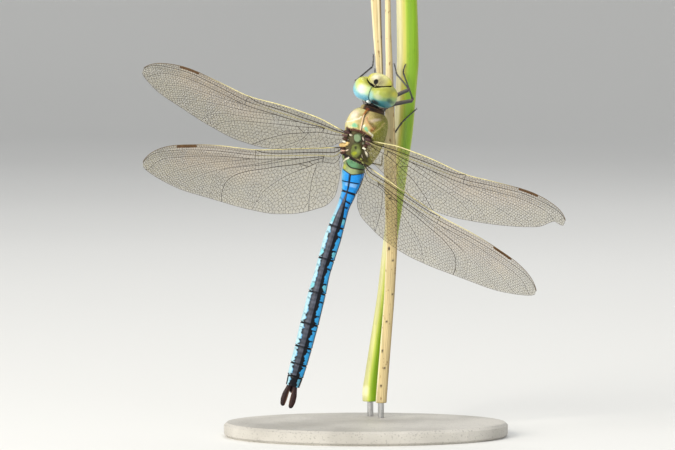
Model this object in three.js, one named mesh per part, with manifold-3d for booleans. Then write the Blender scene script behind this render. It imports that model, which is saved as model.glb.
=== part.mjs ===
// An emperor dragonfly, life size, hanging on cut reed stems above an oval display base.
// Millimetres, +Z up. The back of the insect faces -Y, and the origin is the middle of the
// base's underside. The insect is built in a frame of its own (x to its right, y towards the
// head, z out of its back) whose origin is the joint between thorax and abdomen.
import * as THREE from 'three';
import { mergeVertices } from 'three/addons/utils/BufferGeometryUtils.js';
import Module from 'manifold-3d';

const manifold = await Module();
manifold.setup();

// How the insect hangs.
const WAIST = new THREE.Vector3(-2.75, 0, 60.9);
const BODY_LEAN = THREE.MathUtils.degToRad(17);
const BODY_ROLL = THREE.MathUtils.degToRad(-14);
const JOINT_GAP = 0.05;

// Base and rods.
const BASE_HALF_WIDTH = 32;
const BASE_HALF_DEPTH = 22;
const BASE_HEIGHT = 3.2;
const BASE_BEVEL = 0.6;
const ROD_RADIUS = 0.7;
const STEM_FOOT = 6.6;
const STEM_TOP = 101.2;

// Squareness of the sections: 2 is an ellipse, more is boxier.
const TRUNK_POWER = 2.3;
const ABDOMEN_POWER = 2.2;
const FACE_POWER = 2.5;
const THORAX_SIDES = 20;
const COLLAR_SIDES = 14;
const NECK_SIDES = 10;
const ABDOMEN_SIDES = 16;
const FACE_SIDES = 16;

// Trunk: rows of [y, half width, top, bottom].
const THORAX_ROWS = [
  [0.05, 2.5, 2.3, -2.6],
  [1.0, 3.4, 2.9, -3.9],
  [2.6, 4.0, 3.9, -5.0],
  [4.4, 4.4, 4.2, -6.0],
  [6.2, 4.6, 4.2, -6.6],
  [7.6, 4.7, 4.4, -6.9],
  [8.6, 4.7, 5.0, -6.9],
  [9.8, 4.6, 4.6, -6.6],
  [11.2, 4.2, 3.7, -5.9],
  [12.3, 3.6, 2.6, -4.8],
  [12.9, 2.9, 1.9, -3.9],
];
const PROTHORAX_ROWS = [
  [12.95, 2.6, 1.7, -4.4],
  [13.4, 2.75, 1.9, -4.7],
  [14.0, 2.3, 1.5, -4.2],
];
const NECK_ROWS = [
  [14.05, 1.5, 0.9, -1.6],
  [14.55, 1.3, 0.8, -1.4],
  [15.05, 1.5, 0.9, -1.6],
];

// Abdomen: length of each segment from the waist, then rows of
// [distance from the waist, half width, half height], and the line it follows.
const SEGMENT_LENGTHS = [1.5, 4.1, 8.2, 7.6, 7.8, 7.2, 5.4, 4.0, 3.0, 2.6];
const ABDOMEN_ROWS = [
  [0, 2.35, 2.2],
  [1.3, 2.6, 2.4],
  [3.4, 2.4, 2.3],
  [5.6, 1.75, 1.8],
  [9.4, 1.42, 1.45],
  [13.8, 1.8, 1.5],
  [17.2, 2.02, 1.6],
  [21.4, 1.9, 1.6],
  [25.2, 1.8, 1.55],
  [29.2, 2.03, 1.6],
  [36.4, 2.12, 1.65],
  [41.8, 2.02, 1.6],
  [45.8, 1.96, 1.55],
  [48.8, 1.85, 1.45],
  [51.4, 1.6, 1.25],
];
const ABDOMEN_LINE = [
  [0, 0, -0.2],
  [0.75, -5, -0.5],
  [0.35, -9.5, -0.3],
  [0.2, -16, 0],
  [0.3, -25, 0.2],
  [0.75, -33, 0.3],
  [1.15, -42, 0.1],
  [1.3, -51.4, -0.3],
];

// Claspers at the tip: two leaf-shaped cerci above and a short plate below, as rows of
// [reach past the last segment, distance from the middle, half width, half thickness].
const CERCUS_ROWS = [
  [JOINT_GAP, 0.62, 0.42, 0.3],
  [0.8, 0.72, 0.42, 0.3],
  [2.0, 1.0, 0.72, 0.28],
  [3.6, 1.12, 0.8, 0.26],
  [4.5, 1.1, 0.62, 0.25],
  [5.0, 1.04, 0.3, 0.25],
];
const CERCUS_RISE = 0.35;
const EPIPROCT_ROWS = [
  [JOINT_GAP, 0, 0.75, 0.3],
  [1.0, 0, 0.7, 0.28],
  [1.7, 0, 0.4, 0.25],
];
const EPIPROCT_RISE = -0.5;

// Head, in a frame at its joint with the neck.
const HEAD_JOINT = new THREE.Vector3(-0.5, 14.4, 0.1);
const HEAD_ROLL = THREE.MathUtils.degToRad(-8);
const HEAD_TURN = THREE.MathUtils.degToRad(-3.5);
const EYE_CENTRE = [2.15, 2.88, 0.1];
const EYE_RADII = [2.9, 2.77, 3.7];
const EYE_TILT = THREE.MathUtils.degToRad(12);
const BACK_CENTRE = [0, 2.1, -0.4];
const BACK_RADII = [3.8, 1.65, 2.6];
const ANTENNA_LINE = [[0.7, 4.25, 1.6], [1.15, 5.0, 3.0], [1.75, 5.9, 3.9]];
const ANTENNA_RADII = [0.28, 0.25, 0.25];
// Face: its place to the right of the line where the eyes meet, and rows of [z, half width, back, front].
const FACE_OFFSET = 0.3;
const FACE_ROWS = [
  [1.8, 1.3, 3.6, 5.0],
  [1.55, 2.0, 3.4, 5.7],
  [1.15, 2.5, 3.2, 6.35],
  [0.6, 2.95, 3.1, 7.0],
  [0.0, 3.1, 3.0, 7.35],
  [-0.4, 2.85, 2.9, 7.15],
  [-1.0, 2.55, 2.8, 6.95],
  [-2.1, 2.5, 2.4, 6.5],
  [-3.2, 2.2, 2.0, 5.7],
  [-4.1, 1.4, 2.2, 4.6],
];

// Wings: length, thickness, outline as fractions of the length, and how each one is held.
const WING_THICKNESS = 0.5;
const FOREWING = {
  length: 49.5,
  leading: [[0, -0.02], [0.13, -0.044], [0.3, -0.048], [0.48, -0.036], [0.6, -0.054],
    [0.78, -0.077], [0.9, -0.068], [0.97, -0.042], [1, 0]],
  trailing: [[0, 0.03], [0.04, 0.065], [0.17, 0.12], [0.337, 0.165], [0.486, 0.168],
    [0.66, 0.135], [0.79, 0.097], [0.906, 0.069], [0.975, 0.032], [1, 0.004]],
};
const TORN_FOREWING = {
  length: 48.6,
  leading: FOREWING.leading,
  trailing: [[0, 0.03], [0.04, 0.065], [0.17, 0.12], [0.337, 0.168], [0.486, 0.168],
    [0.66, 0.133], [0.79, 0.097], [0.89, 0.06], [0.925, 0.034], [0.937, 0.004],
    [0.965, 0.012], [0.99, 0.014], [1, 0.006]],
};
const HINDWING = {
  length: 47.5,
  leading: [[0, -0.036], [0.14, -0.038], [0.417, -0.042], [0.6, -0.073], [0.71, -0.082],
    [0.83, -0.086], [0.918, -0.07], [0.975, -0.04], [1, 0]],
  trailing: [[-0.02, 0.01], [0, 0.12], [0.02, 0.19], [0.065, 0.236], [0.2, 0.268], [0.345, 0.265],
    [0.489, 0.231], [0.632, 0.185], [0.804, 0.131], [0.932, 0.058], [0.98, 0.026], [1, 0.004]],
};
const WING_HOLDS = [
  { name: 'forewing_left', shape: FOREWING, side: -1, root: [-3.65, 5.85, 3.4],
    sweep: -0.6, lift: -1, pitch: -2.5 },
  { name: 'forewing_right', shape: TORN_FOREWING, side: 1, root: [2.8, 5.65, 3.7],
    sweep: 4.1, lift: 4, pitch: -2.5 },
  { name: 'hindwing_left', shape: HINDWING, side: -1, root: [-3.5, 1.4, 2.6],
    sweep: 19.3, lift: -6, pitch: 0 },
  { name: 'hindwing_right', shape: HINDWING, side: 1, root: [3.9, -0.5, 2.6],
    sweep: 17.2, lift: 3, pitch: 31.6 },
];
// Sections of a wing, as fractions of its length.
const WING_STATIONS = [-0.02, 0.03, 0.08, 0.14, 0.22, 0.31, 0.4, 0.48, 0.57, 0.66, 0.74, 0.81, 0.87,
  0.91, 0.937, 0.96, 0.98, 0.995];
// Pleats as [fraction of the chord, height of the film there]; they fade towards the tip.
const PLEATS = [[0, 0.1], [0.06, -0.2], [0.14, 0.25], [0.26, -0.12], [0.5, 0.08], [1, 0]];
const PLEAT_FADE = 0.7;

// Legs: hip in the insect's frame, then hinge, knee, ankle, sole and claw in the display's frame.
const LEGS = [
  { name: 'fore_left', hip: [-1.1, 13.4, -4.1], hinge: [0.6, 5.2, 74.8], knee: [-2.4, 5.7, 79.8],
    ankle: [1.5, 8.8, 83.1], sole: [1.7, 9.1, 84.4], claw: [1.72, 9.5, 85.7] },
  { name: 'fore_right', hip: [1.1, 13.4, -4.1], hinge: [4.3, 5.5, 75.3], knee: [9.8, 6.4, 78.0],
    ankle: [7.0, 8.8, 81.4], sole: [6.75, 9.2, 82.5], claw: [6.5, 9.5, 83.6] },
  { name: 'mid_left', hip: [-1.4, 12.0, -4.8], hinge: [0.5, 6.8, 73.2], knee: [-0.6, 8.6, 76.0],
    ankle: [1.7, 9.3, 80.2], sole: [2.0, 9.4, 81.3], claw: [2.1, 9.6, 82.4] },
  { name: 'mid_right', hip: [1.5, 12.0, -4.8], hinge: [4.7, 6.5, 74.1], knee: [10.7, 7.3, 75.5],
    ankle: [8.5, 10.7, 81.7], sole: [8.65, 11.2, 82.5], claw: [9.0, 11.4, 83.5] },
  { name: 'hind_left', hip: [-1.6, 10.0, -6.2], hinge: [-0.9, 8.2, 68.2], knee: [-2.2, 9.8, 61.8],
    ankle: [3.6, 10.0, 60.7], sole: [3.7, 10.0, 61.8], claw: [3.75, 10.1, 62.9] },
  { name: 'hind_right', hip: [1.2, 10.0, -6.3], hinge: [3.0, 8.3, 68.8], knee: [4.4, 12.0, 64.8],
    ankle: [8.3, 10.9, 70.5], sole: [9.9, 11.2, 72.0], claw: [11.55, 12.5, 73.4] },
];
const FEMUR_RADII = [0.75, 0.6, 0.5, 0.45, 0.38];
const TIBIA_RADIUS = 0.28;
const TARSUS_RADIUS = 0.25;

// Perch stems: rows of [z, x, half width] at a given depth behind the insect.
const DRY_STEM = {
  depth: 9.5,
  thickness: 1.1,
  rows: [[STEM_FOOT, 3.5, 1.25], [31, 5.4, 1.2], [42, 5.9, 1.3], [52, 5.75, 1.4], [62, 5.5, 1.45],
    [68, 5.5, 1.2], [84, 5.32, 0.78], [90, 5.1, 0.7], [STEM_TOP, 4.92, 0.6]],
};
const DRY_SHEATH = {
  depth: 9.7,
  thickness: 0.6,
  rows: [[69.5, 3.75, 0.4], [75.5, 3.5, 0.6], [84, 3.05, 0.85], [90, 2.69, 1.0],
    [STEM_TOP, 2.14, 1.25]],
};
const GREEN_STEM = {
  depth: 13.4,
  thickness: 1.7,
  rows: [[STEM_FOOT, 1.1, 1.8], [9, 1.2, 2.0], [12, 1.5, 1.75], [31, 4.3, 1.6], [44, 5.7, 1.6],
    [52, 6.8, 1.75], [68, 8.6, 2.15], [84, 9.62, 2.5], [90, 9.55, 2.45], [STEM_TOP, 9.25, 2.35]],
};

const display = new THREE.Group();

function material(colour, roughness, metalness = 0) {
  return new THREE.MeshStandardMaterial({ color: colour, roughness, metalness });
}

const chitinTan = material(0xb09a68, 0.5);
const chitinDark = material(0x2a211c, 0.45);
const chitinBlue = material(0x2f8fd0, 0.4);
const eyeGreen = material(0x7fc4b0, 0.2);
const faceYellow = material(0xc9cf7a, 0.4);
const wingClear = material(0xb8b08c, 0.3);
const reedDry = material(0xc8ae78, 0.8);
const reedGreen = material(0x8cc43a, 0.5);
const standGrey = material(0xd8d6d0, 0.6);
const rodSteel = material(0xb4b6b8, 0.35, 0.9);

function addMesh(parent, name, geometry, meshMaterial) {
  const mesh = new THREE.Mesh(geometry, meshMaterial.clone());
  mesh.name = name;
  parent.add(mesh);
  return mesh;
}

// A closed skin over equal rings of points, with a fan over each end.
function skinOver(rings) {
  const sides = rings[0].length;
  const points = rings.flat();
  const faces = [];
  for (let i = 0; i < rings.length - 1; i += 1) {
    for (let j = 0; j < sides; j += 1) {
      const a = i * sides + j;
      const b = i * sides + ((j + 1) % sides);
      faces.push(a, b, a + sides, b, b + sides, a + sides);
    }
  }
  for (const [ring, start, turn] of [[rings[0], 0, 1], [rings.at(-1), points.length - sides, 0]]) {
    const middle = ring.reduce((sum, p) => sum.add(p), new THREE.Vector3()).divideScalar(sides);
    points.push(middle);
    const centre = points.length - 1;
    for (let j = 0; j < sides; j += 1) {
      const a = start + j;
      const b = start + ((j + 1) % sides);
      faces.push(...(turn ? [centre, b, a] : [centre, a, b]));
    }
  }
  const geometry = new THREE.BufferGeometry().setFromPoints(points);
  geometry.setIndex(faces);
  return geometry;
}

// A rounded section: a superellipse with its own top and bottom, across `right` and `up`.
function sectionRing(centre, right, up, halfWidth, top, bottom, sides, power = 2) {
  const ring = [];
  for (let j = 0; j < sides; j += 1) {
    const angle = (2 * Math.PI * (j + 0.5)) / sides;
    const across = Math.sign(Math.cos(angle)) * Math.abs(Math.cos(angle)) ** (2 / power);
    const rise = Math.sign(Math.sin(angle)) * Math.abs(Math.sin(angle)) ** (2 / power);
    const height = (top + bottom) / 2 + (rise * (top - bottom)) / 2;
    ring.push(centre.clone().addScaledVector(right, across * halfWidth).addScaledVector(up, height));
  }
  return ring;
}

const AXIS_X = new THREE.Vector3(1, 0, 0);
const AXIS_Y = new THREE.Vector3(0, 1, 0);
const AXIS_Z = new THREE.Vector3(0, 0, 1);

// Value in a column of rows at x, where each row starts with its x.
function readRows(rows, x, column) {
  const k = THREE.MathUtils.clamp(rows.findIndex((row) => row[0] >= x), 1, rows.length - 1);
  const t = (x - rows[k - 1][0]) / (rows[k][0] - rows[k - 1][0]);
  return THREE.MathUtils.lerp(rows[k - 1][column], rows[k][column], THREE.MathUtils.clamp(t, 0, 1));
}

// Part of the trunk between cross planes of the insect, from rows of [y, half width, top, bottom].
function trunkPiece(rows, sides, grow = 0) {
  return skinOver(rows.map(([y, halfWidth, top, bottom]) => sectionRing(
    new THREE.Vector3(0, y, 0), AXIS_X.clone().negate(), AXIS_Z,
    halfWidth + grow, top + grow, bottom - grow, sides, TRUNK_POWER,
  )));
}

// A round limb along a smooth line through points, its radii spaced evenly along it.
function limb(points, radii, steps, sides, grow = 0) {
  const line = new THREE.CatmullRomCurve3(points, false, 'centripetal');
  const rows = radii.map((radius, index) => [index / (radii.length - 1), radius]);
  const rings = [];
  for (let i = 0; i <= steps; i += 1) {
    const along = line.getTangent(i / steps);
    const side = new THREE.Vector3().crossVectors(AXIS_Y, along).normalize();
    const up = new THREE.Vector3().crossVectors(along, side);
    const radius = readRows(rows, i / steps, 1) + grow;
    rings.push(sectionRing(line.getPoint(i / steps), side, up, radius, radius, -radius, sides));
  }
  return skinOver(rings);
}

function toManifold(geometry, matrix) {
  const plain = geometry.clone();
  plain.deleteAttribute('normal');
  plain.deleteAttribute('uv');
  const welded = mergeVertices(plain).applyMatrix4(matrix);
  return new manifold.Manifold(new manifold.Mesh({
    numProp: 3,
    vertProperties: new Float32Array(welded.attributes.position.array),
    triVerts: new Uint32Array(welded.index.array),
  }));
}

function fromManifold(solid, matrix) {
  const result = solid.getMesh();
  const geometry = new THREE.BufferGeometry();
  geometry.setAttribute('position', new THREE.BufferAttribute(result.vertProperties, 3));
  geometry.setIndex(new THREE.BufferAttribute(result.triVerts, 1));
  return geometry.applyMatrix4(matrix);
}

// Cuts tools out of a mesh; each tool is a geometry in the frame of the group given with it.
function carve(mesh, tools) {
  display.updateMatrixWorld(true);
  let solid = toManifold(mesh.geometry, mesh.matrixWorld);
  for (const [geometry, group] of tools) {
    solid = solid.subtract(toManifold(geometry, group.matrixWorld));
  }
  mesh.geometry = fromManifold(solid, mesh.matrixWorld.clone().invert());
}

// Display base: an oval plate with a bevelled rim, and a short rod under each stem.
function buildStand() {
  const outline = new THREE.Shape();
  outline.absellipse(0, 0, BASE_HALF_WIDTH - BASE_BEVEL, BASE_HALF_DEPTH - BASE_BEVEL, 0, 2 * Math.PI);
  const plate = new THREE.ExtrudeGeometry(outline, {
    depth: BASE_HEIGHT - 2 * BASE_BEVEL,
    bevelThickness: BASE_BEVEL,
    bevelSize: BASE_BEVEL,
    bevelSegments: 1,
    curveSegments: 24,
  });
  plate.translate(0, 0, BASE_BEVEL);
  addMesh(display, 'stand_base', plate, standGrey);
  for (const [name, stem] of [['stand_rod_dry', DRY_STEM], ['stand_rod_green', GREEN_STEM]]) {
    const height = STEM_FOOT - BASE_HEIGHT - 2 * JOINT_GAP;
    const rod = new THREE.CylinderGeometry(ROD_RADIUS, ROD_RADIUS, height, 16);
    const mesh = addMesh(display, name, rod, rodSteel);
    mesh.rotation.x = Math.PI / 2;
    mesh.position.set(stem.rows[0][1], stem.depth, BASE_HEIGHT + JOINT_GAP + height / 2);
  }
}

// A reed stem: an oval tube whose cut ends are level.
function stemPiece(stem, sides, grow = 0) {
  return skinOver(stem.rows.map(([z, x, halfWidth]) => sectionRing(
    new THREE.Vector3(x, stem.depth, z), AXIS_X, AXIS_Y,
    halfWidth + grow, stem.thickness + grow, -stem.thickness - grow, sides,
  )));
}

function buildPerch() {
  addMesh(display, 'perch_stem_dry', stemPiece(DRY_STEM, 12), reedDry);
  addMesh(display, 'perch_stem_green', stemPiece(GREEN_STEM, 14), reedGreen);
  const sheath = addMesh(display, 'perch_sheath_dry', stemPiece(DRY_SHEATH, 8), reedDry);
  carve(sheath, [[stemPiece(DRY_STEM, 12, JOINT_GAP), display]]);
}

// Groups that carry the insect's frame: lean to the right, stand upright, roll about its length.
const leaning = new THREE.Group();
leaning.position.copy(WAIST);
leaning.rotation.y = BODY_LEAN;
const upright = new THREE.Group();
upright.rotation.x = Math.PI / 2;
const insect = new THREE.Group();
insect.rotation.y = BODY_ROLL;
display.add(leaning);
leaning.add(upright);
upright.add(insect);
const head = new THREE.Group();
head.position.copy(HEAD_JOINT);
head.rotation.set(0, HEAD_ROLL, HEAD_TURN, 'ZYX');
insect.add(head);

// Abdomen: place, tangent and cross directions at a distance from the waist.
const abdomenLine = new THREE.CatmullRomCurve3(ABDOMEN_LINE.map((place) => new THREE.Vector3(...place)));
const abdomenLength = SEGMENT_LENGTHS.reduce((sum, length) => sum + length, 0);

function abdomenStation(distance) {
  const t = Math.min(distance / abdomenLength, 1);
  const along = abdomenLine.getTangentAt(t);
  const right = new THREE.Vector3().crossVectors(AXIS_Z, along).normalize();
  const up = new THREE.Vector3().crossVectors(along, right);
  return { point: abdomenLine.getPointAt(t), along, right, up };
}

// Ten segments, parted by thin cuts.
function buildAbdomen() {
  let start = 0;
  SEGMENT_LENGTHS.forEach((length, index) => {
    const steps = Math.max(2, Math.round(length / 2));
    const rings = [];
    for (let i = 0; i <= steps; i += 1) {
      const distance = start + JOINT_GAP / 2 + (length - JOINT_GAP) * (i / steps);
      const { point, right, up } = abdomenStation(distance);
      const halfWidth = readRows(ABDOMEN_ROWS, distance, 1);
      const halfHeight = readRows(ABDOMEN_ROWS, distance, 2);
      rings.push(sectionRing(
        point, right, up, halfWidth, halfHeight, -halfHeight, ABDOMEN_SIDES, ABDOMEN_POWER,
      ));
    }
    const segment = addMesh(insect, `abdomen_${index + 1}`, skinOver(rings), chitinBlue);
    if (index === 0) {
      carve(segment, [[trunkPiece(THORAX_ROWS, THORAX_SIDES, JOINT_GAP), insect]]);
    }
    start += length;
  });
}

// A clasper or the plate below: a flat oval bar that goes on from the last segment.
function claspPiece(rows, side, rise) {
  const { point, along, right, up } = abdomenStation(abdomenLength);
  return skinOver(rows.map(([reach, offset, halfWidth, halfThickness]) => {
    const centre = point.clone().addScaledVector(along, reach);
    centre.addScaledVector(right, side * offset).addScaledVector(up, rise);
    return sectionRing(centre, right, up, halfWidth, halfThickness, -halfThickness, 10);
  }));
}

// The face shield is stacked from the brow to the lower lip, the back of the head is domed.
function headCore(grow) {
  const face = skinOver(FACE_ROWS.map(([z, halfWidth, back, front]) => {
    const centre = new THREE.Vector3(FACE_OFFSET, (back + front) / 2, z + Math.sign(z) * grow);
    return sectionRing(
      centre, AXIS_X, AXIS_Y.clone().negate(),
      halfWidth + grow, (front - back) / 2 + grow, (back - front) / 2 - grow, FACE_SIDES, FACE_POWER,
    );
  }));
  const dome = new THREE.SphereGeometry(1, 18, 10);
  dome.scale(...BACK_RADII.map((radius) => radius + grow));
  dome.translate(...BACK_CENTRE);
  const still = new THREE.Matrix4();
  return fromManifold(toManifold(face, still).add(toManifold(dome, still)), still);
}

// Each eye is a tilted ellipsoid cut flat where the two meet on top of the head.
function eyePiece(side, grow = 0) {
  const ball = new THREE.SphereGeometry(1, 20, 14);
  ball.scale(...EYE_RADII.map((radius) => radius + grow));
  ball.rotateY(-side * EYE_TILT);
  ball.translate(side * EYE_CENTRE[0], EYE_CENTRE[1], EYE_CENTRE[2]);
  const reach = 2 * EYE_RADII[2];
  const half = new THREE.BoxGeometry(reach, reach, reach);
  half.translate(side * (reach / 2 + JOINT_GAP / 2), EYE_CENTRE[1], EYE_CENTRE[2]);
  const still = new THREE.Matrix4();
  return fromManifold(toManifold(ball, still).intersect(toManifold(half, still)), still);
}

function buildHead() {
  addMesh(head, 'head', headCore(0), faceYellow);
  for (const [name, side] of [['eye_left', -1], ['eye_right', 1]]) {
    const eye = addMesh(head, name, eyePiece(side), eyeGreen);
    carve(eye, [[headCore(JOINT_GAP), head]]);
  }
  for (const [name, side] of [['antenna_left', -1], ['antenna_right', 1]]) {
    const points = ANTENNA_LINE.map(([x, y, z]) => new THREE.Vector3(FACE_OFFSET + side * x, y, z));
    const bristle = addMesh(head, name, limb(points, ANTENNA_RADII, 3, 6), chitinDark);
    carve(bristle, [[headCore(JOINT_GAP), head], [eyePiece(side, JOINT_GAP), head]]);
  }
}

function buildTrunk() {
  addMesh(insect, 'thorax', trunkPiece(THORAX_ROWS, THORAX_SIDES), chitinTan);
  addMesh(insect, 'prothorax', trunkPiece(PROTHORAX_ROWS, COLLAR_SIDES), chitinDark);
  const neck = addMesh(insect, 'neck', trunkPiece(NECK_ROWS, NECK_SIDES), chitinDark);
  carve(neck, [
    [headCore(JOINT_GAP), head],
    [eyePiece(-1, JOINT_GAP), head],
    [eyePiece(1, JOINT_GAP), head],
  ]);
}

// A wing: a pleated plate between its leading and trailing edges, built outwards along x.
function wingPiece(shape, side) {
  const edge = (points) => new THREE.SplineCurve(points.map(([u, v]) => new THREE.Vector2(u, v)))
    .getPoints(160).map(({ x, y }) => [x, y]);
  const leading = edge(shape.leading);
  const trailing = edge(shape.trailing);
  return skinOver(WING_STATIONS.map((u) => {
    const front = -readRows(leading, u, 1) * shape.length;
    const back = -readRows(trailing, u, 1) * shape.length;
    const flattening = 1 - PLEAT_FADE * u;
    const upper = PLEATS.map(([part, height]) => new THREE.Vector3(
      side * u * shape.length,
      THREE.MathUtils.lerp(front, back, part),
      height * flattening + WING_THICKNESS / 2,
    ));
    const lower = upper.map((point) => point.clone().sub(new THREE.Vector3(0, 0, WING_THICKNESS)));
    const ring = [...upper, ...lower.reverse()];
    return side > 0 ? ring : ring.reverse();
  }));
}

function buildWings() {
  for (const { name, shape, side, root, sweep, lift, pitch } of WING_HOLDS) {
    const wing = addMesh(insect, name, wingPiece(shape, side), wingClear);
    const [sweepAngle, liftAngle, pitchAngle] = [sweep, lift, pitch].map(THREE.MathUtils.degToRad);
    wing.position.set(...root);
    wing.rotation.set(pitchAngle, -side * liftAngle, -side * sweepAngle, 'ZYX');
    carve(wing, [[trunkPiece(THORAX_ROWS, THORAX_SIDES, JOINT_GAP), insect]]);
  }
}

// A leg: femur with its coxa, tibia and tarsus, each cut clear of what it is jointed to.
function buildLegs() {
  const chest = [trunkPiece(THORAX_ROWS, THORAX_SIDES, JOINT_GAP), insect];
  const collar = [trunkPiece(PROTHORAX_ROWS, COLLAR_SIDES, JOINT_GAP), insect];
  const point = (place) => new THREE.Vector3(...place);
  for (const leg of LEGS) {
    const hip = insect.localToWorld(point(leg.hip));
    const places = [leg.hinge, leg.knee, leg.ankle, leg.sole, leg.claw];
    const [hinge, knee, ankle, sole, claw] = places.map(point);
    const upper = (grow) => limb([hip, hinge, knee], FEMUR_RADII, 6, 8, grow);
    const middle = (grow) => limb([knee, ankle], [TIBIA_RADIUS, TIBIA_RADIUS], 1, 6, grow);
    const lower = limb([ankle, sole, claw], [TARSUS_RADIUS, TARSUS_RADIUS], 3, 6);
    const femurMesh = addMesh(display, `leg_${leg.name}_femur`, upper(0), chitinDark);
    const tibiaMesh = addMesh(display, `leg_${leg.name}_tibia`, middle(0), chitinDark);
    const tarsusMesh = addMesh(display, `leg_${leg.name}_tarsus`, lower, chitinDark);
    carve(femurMesh, [chest, collar]);
    carve(tibiaMesh, [[upper(JOINT_GAP), display]]);
    carve(tarsusMesh, [[middle(JOINT_GAP), display]]);
  }
}

display.updateMatrixWorld(true);
buildStand();
buildPerch();
buildTrunk();
buildAbdomen();
addMesh(insect, 'cercus_left', claspPiece(CERCUS_ROWS, -1, CERCUS_RISE), chitinDark);
addMesh(insect, 'cercus_right', claspPiece(CERCUS_ROWS, 1, CERCUS_RISE), chitinDark);
addMesh(insect, 'epiproct', claspPiece(EPIPROCT_ROWS, 1, EPIPROCT_RISE), chitinDark);
buildHead();
buildWings();
buildLegs();

export default display;
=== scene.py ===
# A dragonfly at rest, life size, head up on two cut reed stems above an oval display base.
# Metres, +Z up, the insect's back towards -Y. Sizes in the sections are millimetres.
import math

import bpy
import numpy as np
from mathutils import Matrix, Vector
from mathutils.geometry import delaunay_2d_cdt


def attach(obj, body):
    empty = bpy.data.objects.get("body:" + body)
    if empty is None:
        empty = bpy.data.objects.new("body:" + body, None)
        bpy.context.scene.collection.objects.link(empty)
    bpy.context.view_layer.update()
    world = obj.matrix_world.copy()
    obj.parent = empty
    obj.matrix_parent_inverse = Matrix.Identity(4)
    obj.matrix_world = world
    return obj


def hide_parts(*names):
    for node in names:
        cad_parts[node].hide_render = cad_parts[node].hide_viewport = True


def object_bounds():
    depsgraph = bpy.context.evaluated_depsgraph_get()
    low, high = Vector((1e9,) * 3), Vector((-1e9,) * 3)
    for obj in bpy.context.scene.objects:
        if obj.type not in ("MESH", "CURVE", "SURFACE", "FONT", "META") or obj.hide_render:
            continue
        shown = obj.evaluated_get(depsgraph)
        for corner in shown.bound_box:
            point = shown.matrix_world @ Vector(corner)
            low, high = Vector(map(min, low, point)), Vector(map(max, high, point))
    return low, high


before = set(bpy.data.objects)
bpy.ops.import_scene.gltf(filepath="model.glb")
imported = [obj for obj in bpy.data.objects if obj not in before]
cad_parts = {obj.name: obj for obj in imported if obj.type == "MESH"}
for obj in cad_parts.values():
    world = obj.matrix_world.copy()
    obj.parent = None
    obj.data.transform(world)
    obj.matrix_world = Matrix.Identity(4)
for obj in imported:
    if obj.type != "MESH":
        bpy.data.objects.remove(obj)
cad_low, cad_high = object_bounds()

# ---------------------------------------------------------------------------------------------
# Room: a round cove of pale card, flat underfoot and swept up to a wall, with soft lamps inside.
# It is only the place where the display stands, and isn't part of the object.
# ---------------------------------------------------------------------------------------------
MM = 0.001


def make_piece(name, points, faces, material, marks=None):
    """Object from points in metres and faces, smooth shaded, its place kept in its mesh. `marks`
    are named values held at the points: colours where they have four numbers, else vectors."""
    mesh = bpy.data.meshes.new(name)
    mesh.from_pydata(np.asarray(points).tolist(), [], [tuple(face) for face in faces])
    mesh.polygons.foreach_set("use_smooth", np.ones(len(mesh.polygons), bool))
    for label, values in (marks or {}).items():
        kind, key = ("FLOAT_COLOR", "color") if values.shape[1] == 4 else ("FLOAT_VECTOR", "vector")
        layer = mesh.attributes.new(label, kind, "POINT")
        layer.data.foreach_set(key, np.ascontiguousarray(values, np.float32).ravel())
    mesh.materials.append(material)
    mesh.update()
    piece = bpy.data.objects.new(name, mesh)
    bpy.context.scene.collection.objects.link(piece)
    return piece


def tube_faces(rows, columns, first=0):
    """Faces of a closed form whose points lie in rows round it: each cell between two rows and two
    columns is one four-sided face, the last column meets the first, and a fan over each end row
    meets in one of two middle points that follow the rows."""
    index = first + np.arange(rows * columns).reshape(rows, columns)
    after = np.roll(index, -1, axis=1)
    quads = np.stack([index[:-1], after[:-1], after[1:], index[1:]], axis=-1).reshape(-1, 4)
    start = np.full(columns, first + rows * columns)
    fan_a = np.stack([start, after[0], index[0]], axis=-1)
    fan_b = np.stack([start + 1, index[-1], after[-1]], axis=-1)
    return quads.tolist() + fan_a.tolist() + fan_b.tolist()


def closed(grid):
    """Points of a grid of rings in one list, with the middles of the first and last ring."""
    ends = np.stack([grid[0].mean(axis=0), grid[-1].mean(axis=0)])
    return np.concatenate([grid.reshape(-1, grid.shape[-1]), ends])


def new_finish(name, **sockets):
    """Material with one Principled shader, its fixed numbers set on the shader's own sockets."""
    material = bpy.data.materials.new(name)
    material.use_nodes = True
    shader = material.node_tree.nodes["Principled BSDF"]
    for socket, value in sockets.items():
        shader.inputs[socket.replace("_", " ")].default_value = value
    return material, material.node_tree, shader


def add_node(tree, kind, inputs=None, **settings):
    """Node with its settings; each of its inputs takes a fixed value or another node's output."""
    node = tree.nodes.new("ShaderNode" + kind)
    for setting, value in settings.items():
        setattr(node, setting, value)
    for key, value in (inputs or {}).items():
        if isinstance(value, bpy.types.NodeSocket):
            tree.links.new(value, node.inputs[key])
        else:
            node.inputs[key].default_value = value
    return node


def mottle(tree, place, scale, detail=4.0, stretch=(1, 1, 1)):
    """Soft random number from 0 to 1 over a place, its pattern stretched along each axis."""
    spread = add_node(tree, "Mapping", {"Vector": place, "Scale": stretch})
    noise = add_node(tree, "TexNoise", {"Vector": spread.outputs[0], "Scale": scale, "Detail": detail})
    return noise.outputs["Fac"]


def graded(tree, number, low, high, start=0.3, end=0.7):
    """Colour or grey that turns from low to high as a number goes from start to end."""
    ramp = add_node(tree, "ValToRGB", {"Fac": number})
    ramp.color_ramp.elements[0].position = start
    ramp.color_ramp.elements[1].position = end
    ramp.color_ramp.elements[0].color = low
    ramp.color_ramp.elements[1].color = high
    return ramp.outputs["Color"]


CARD_FLAT = 2.2
CARD_SWEEP = 1.4
CARD_COLUMNS = 96
CARD_STEPS = 16

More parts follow.
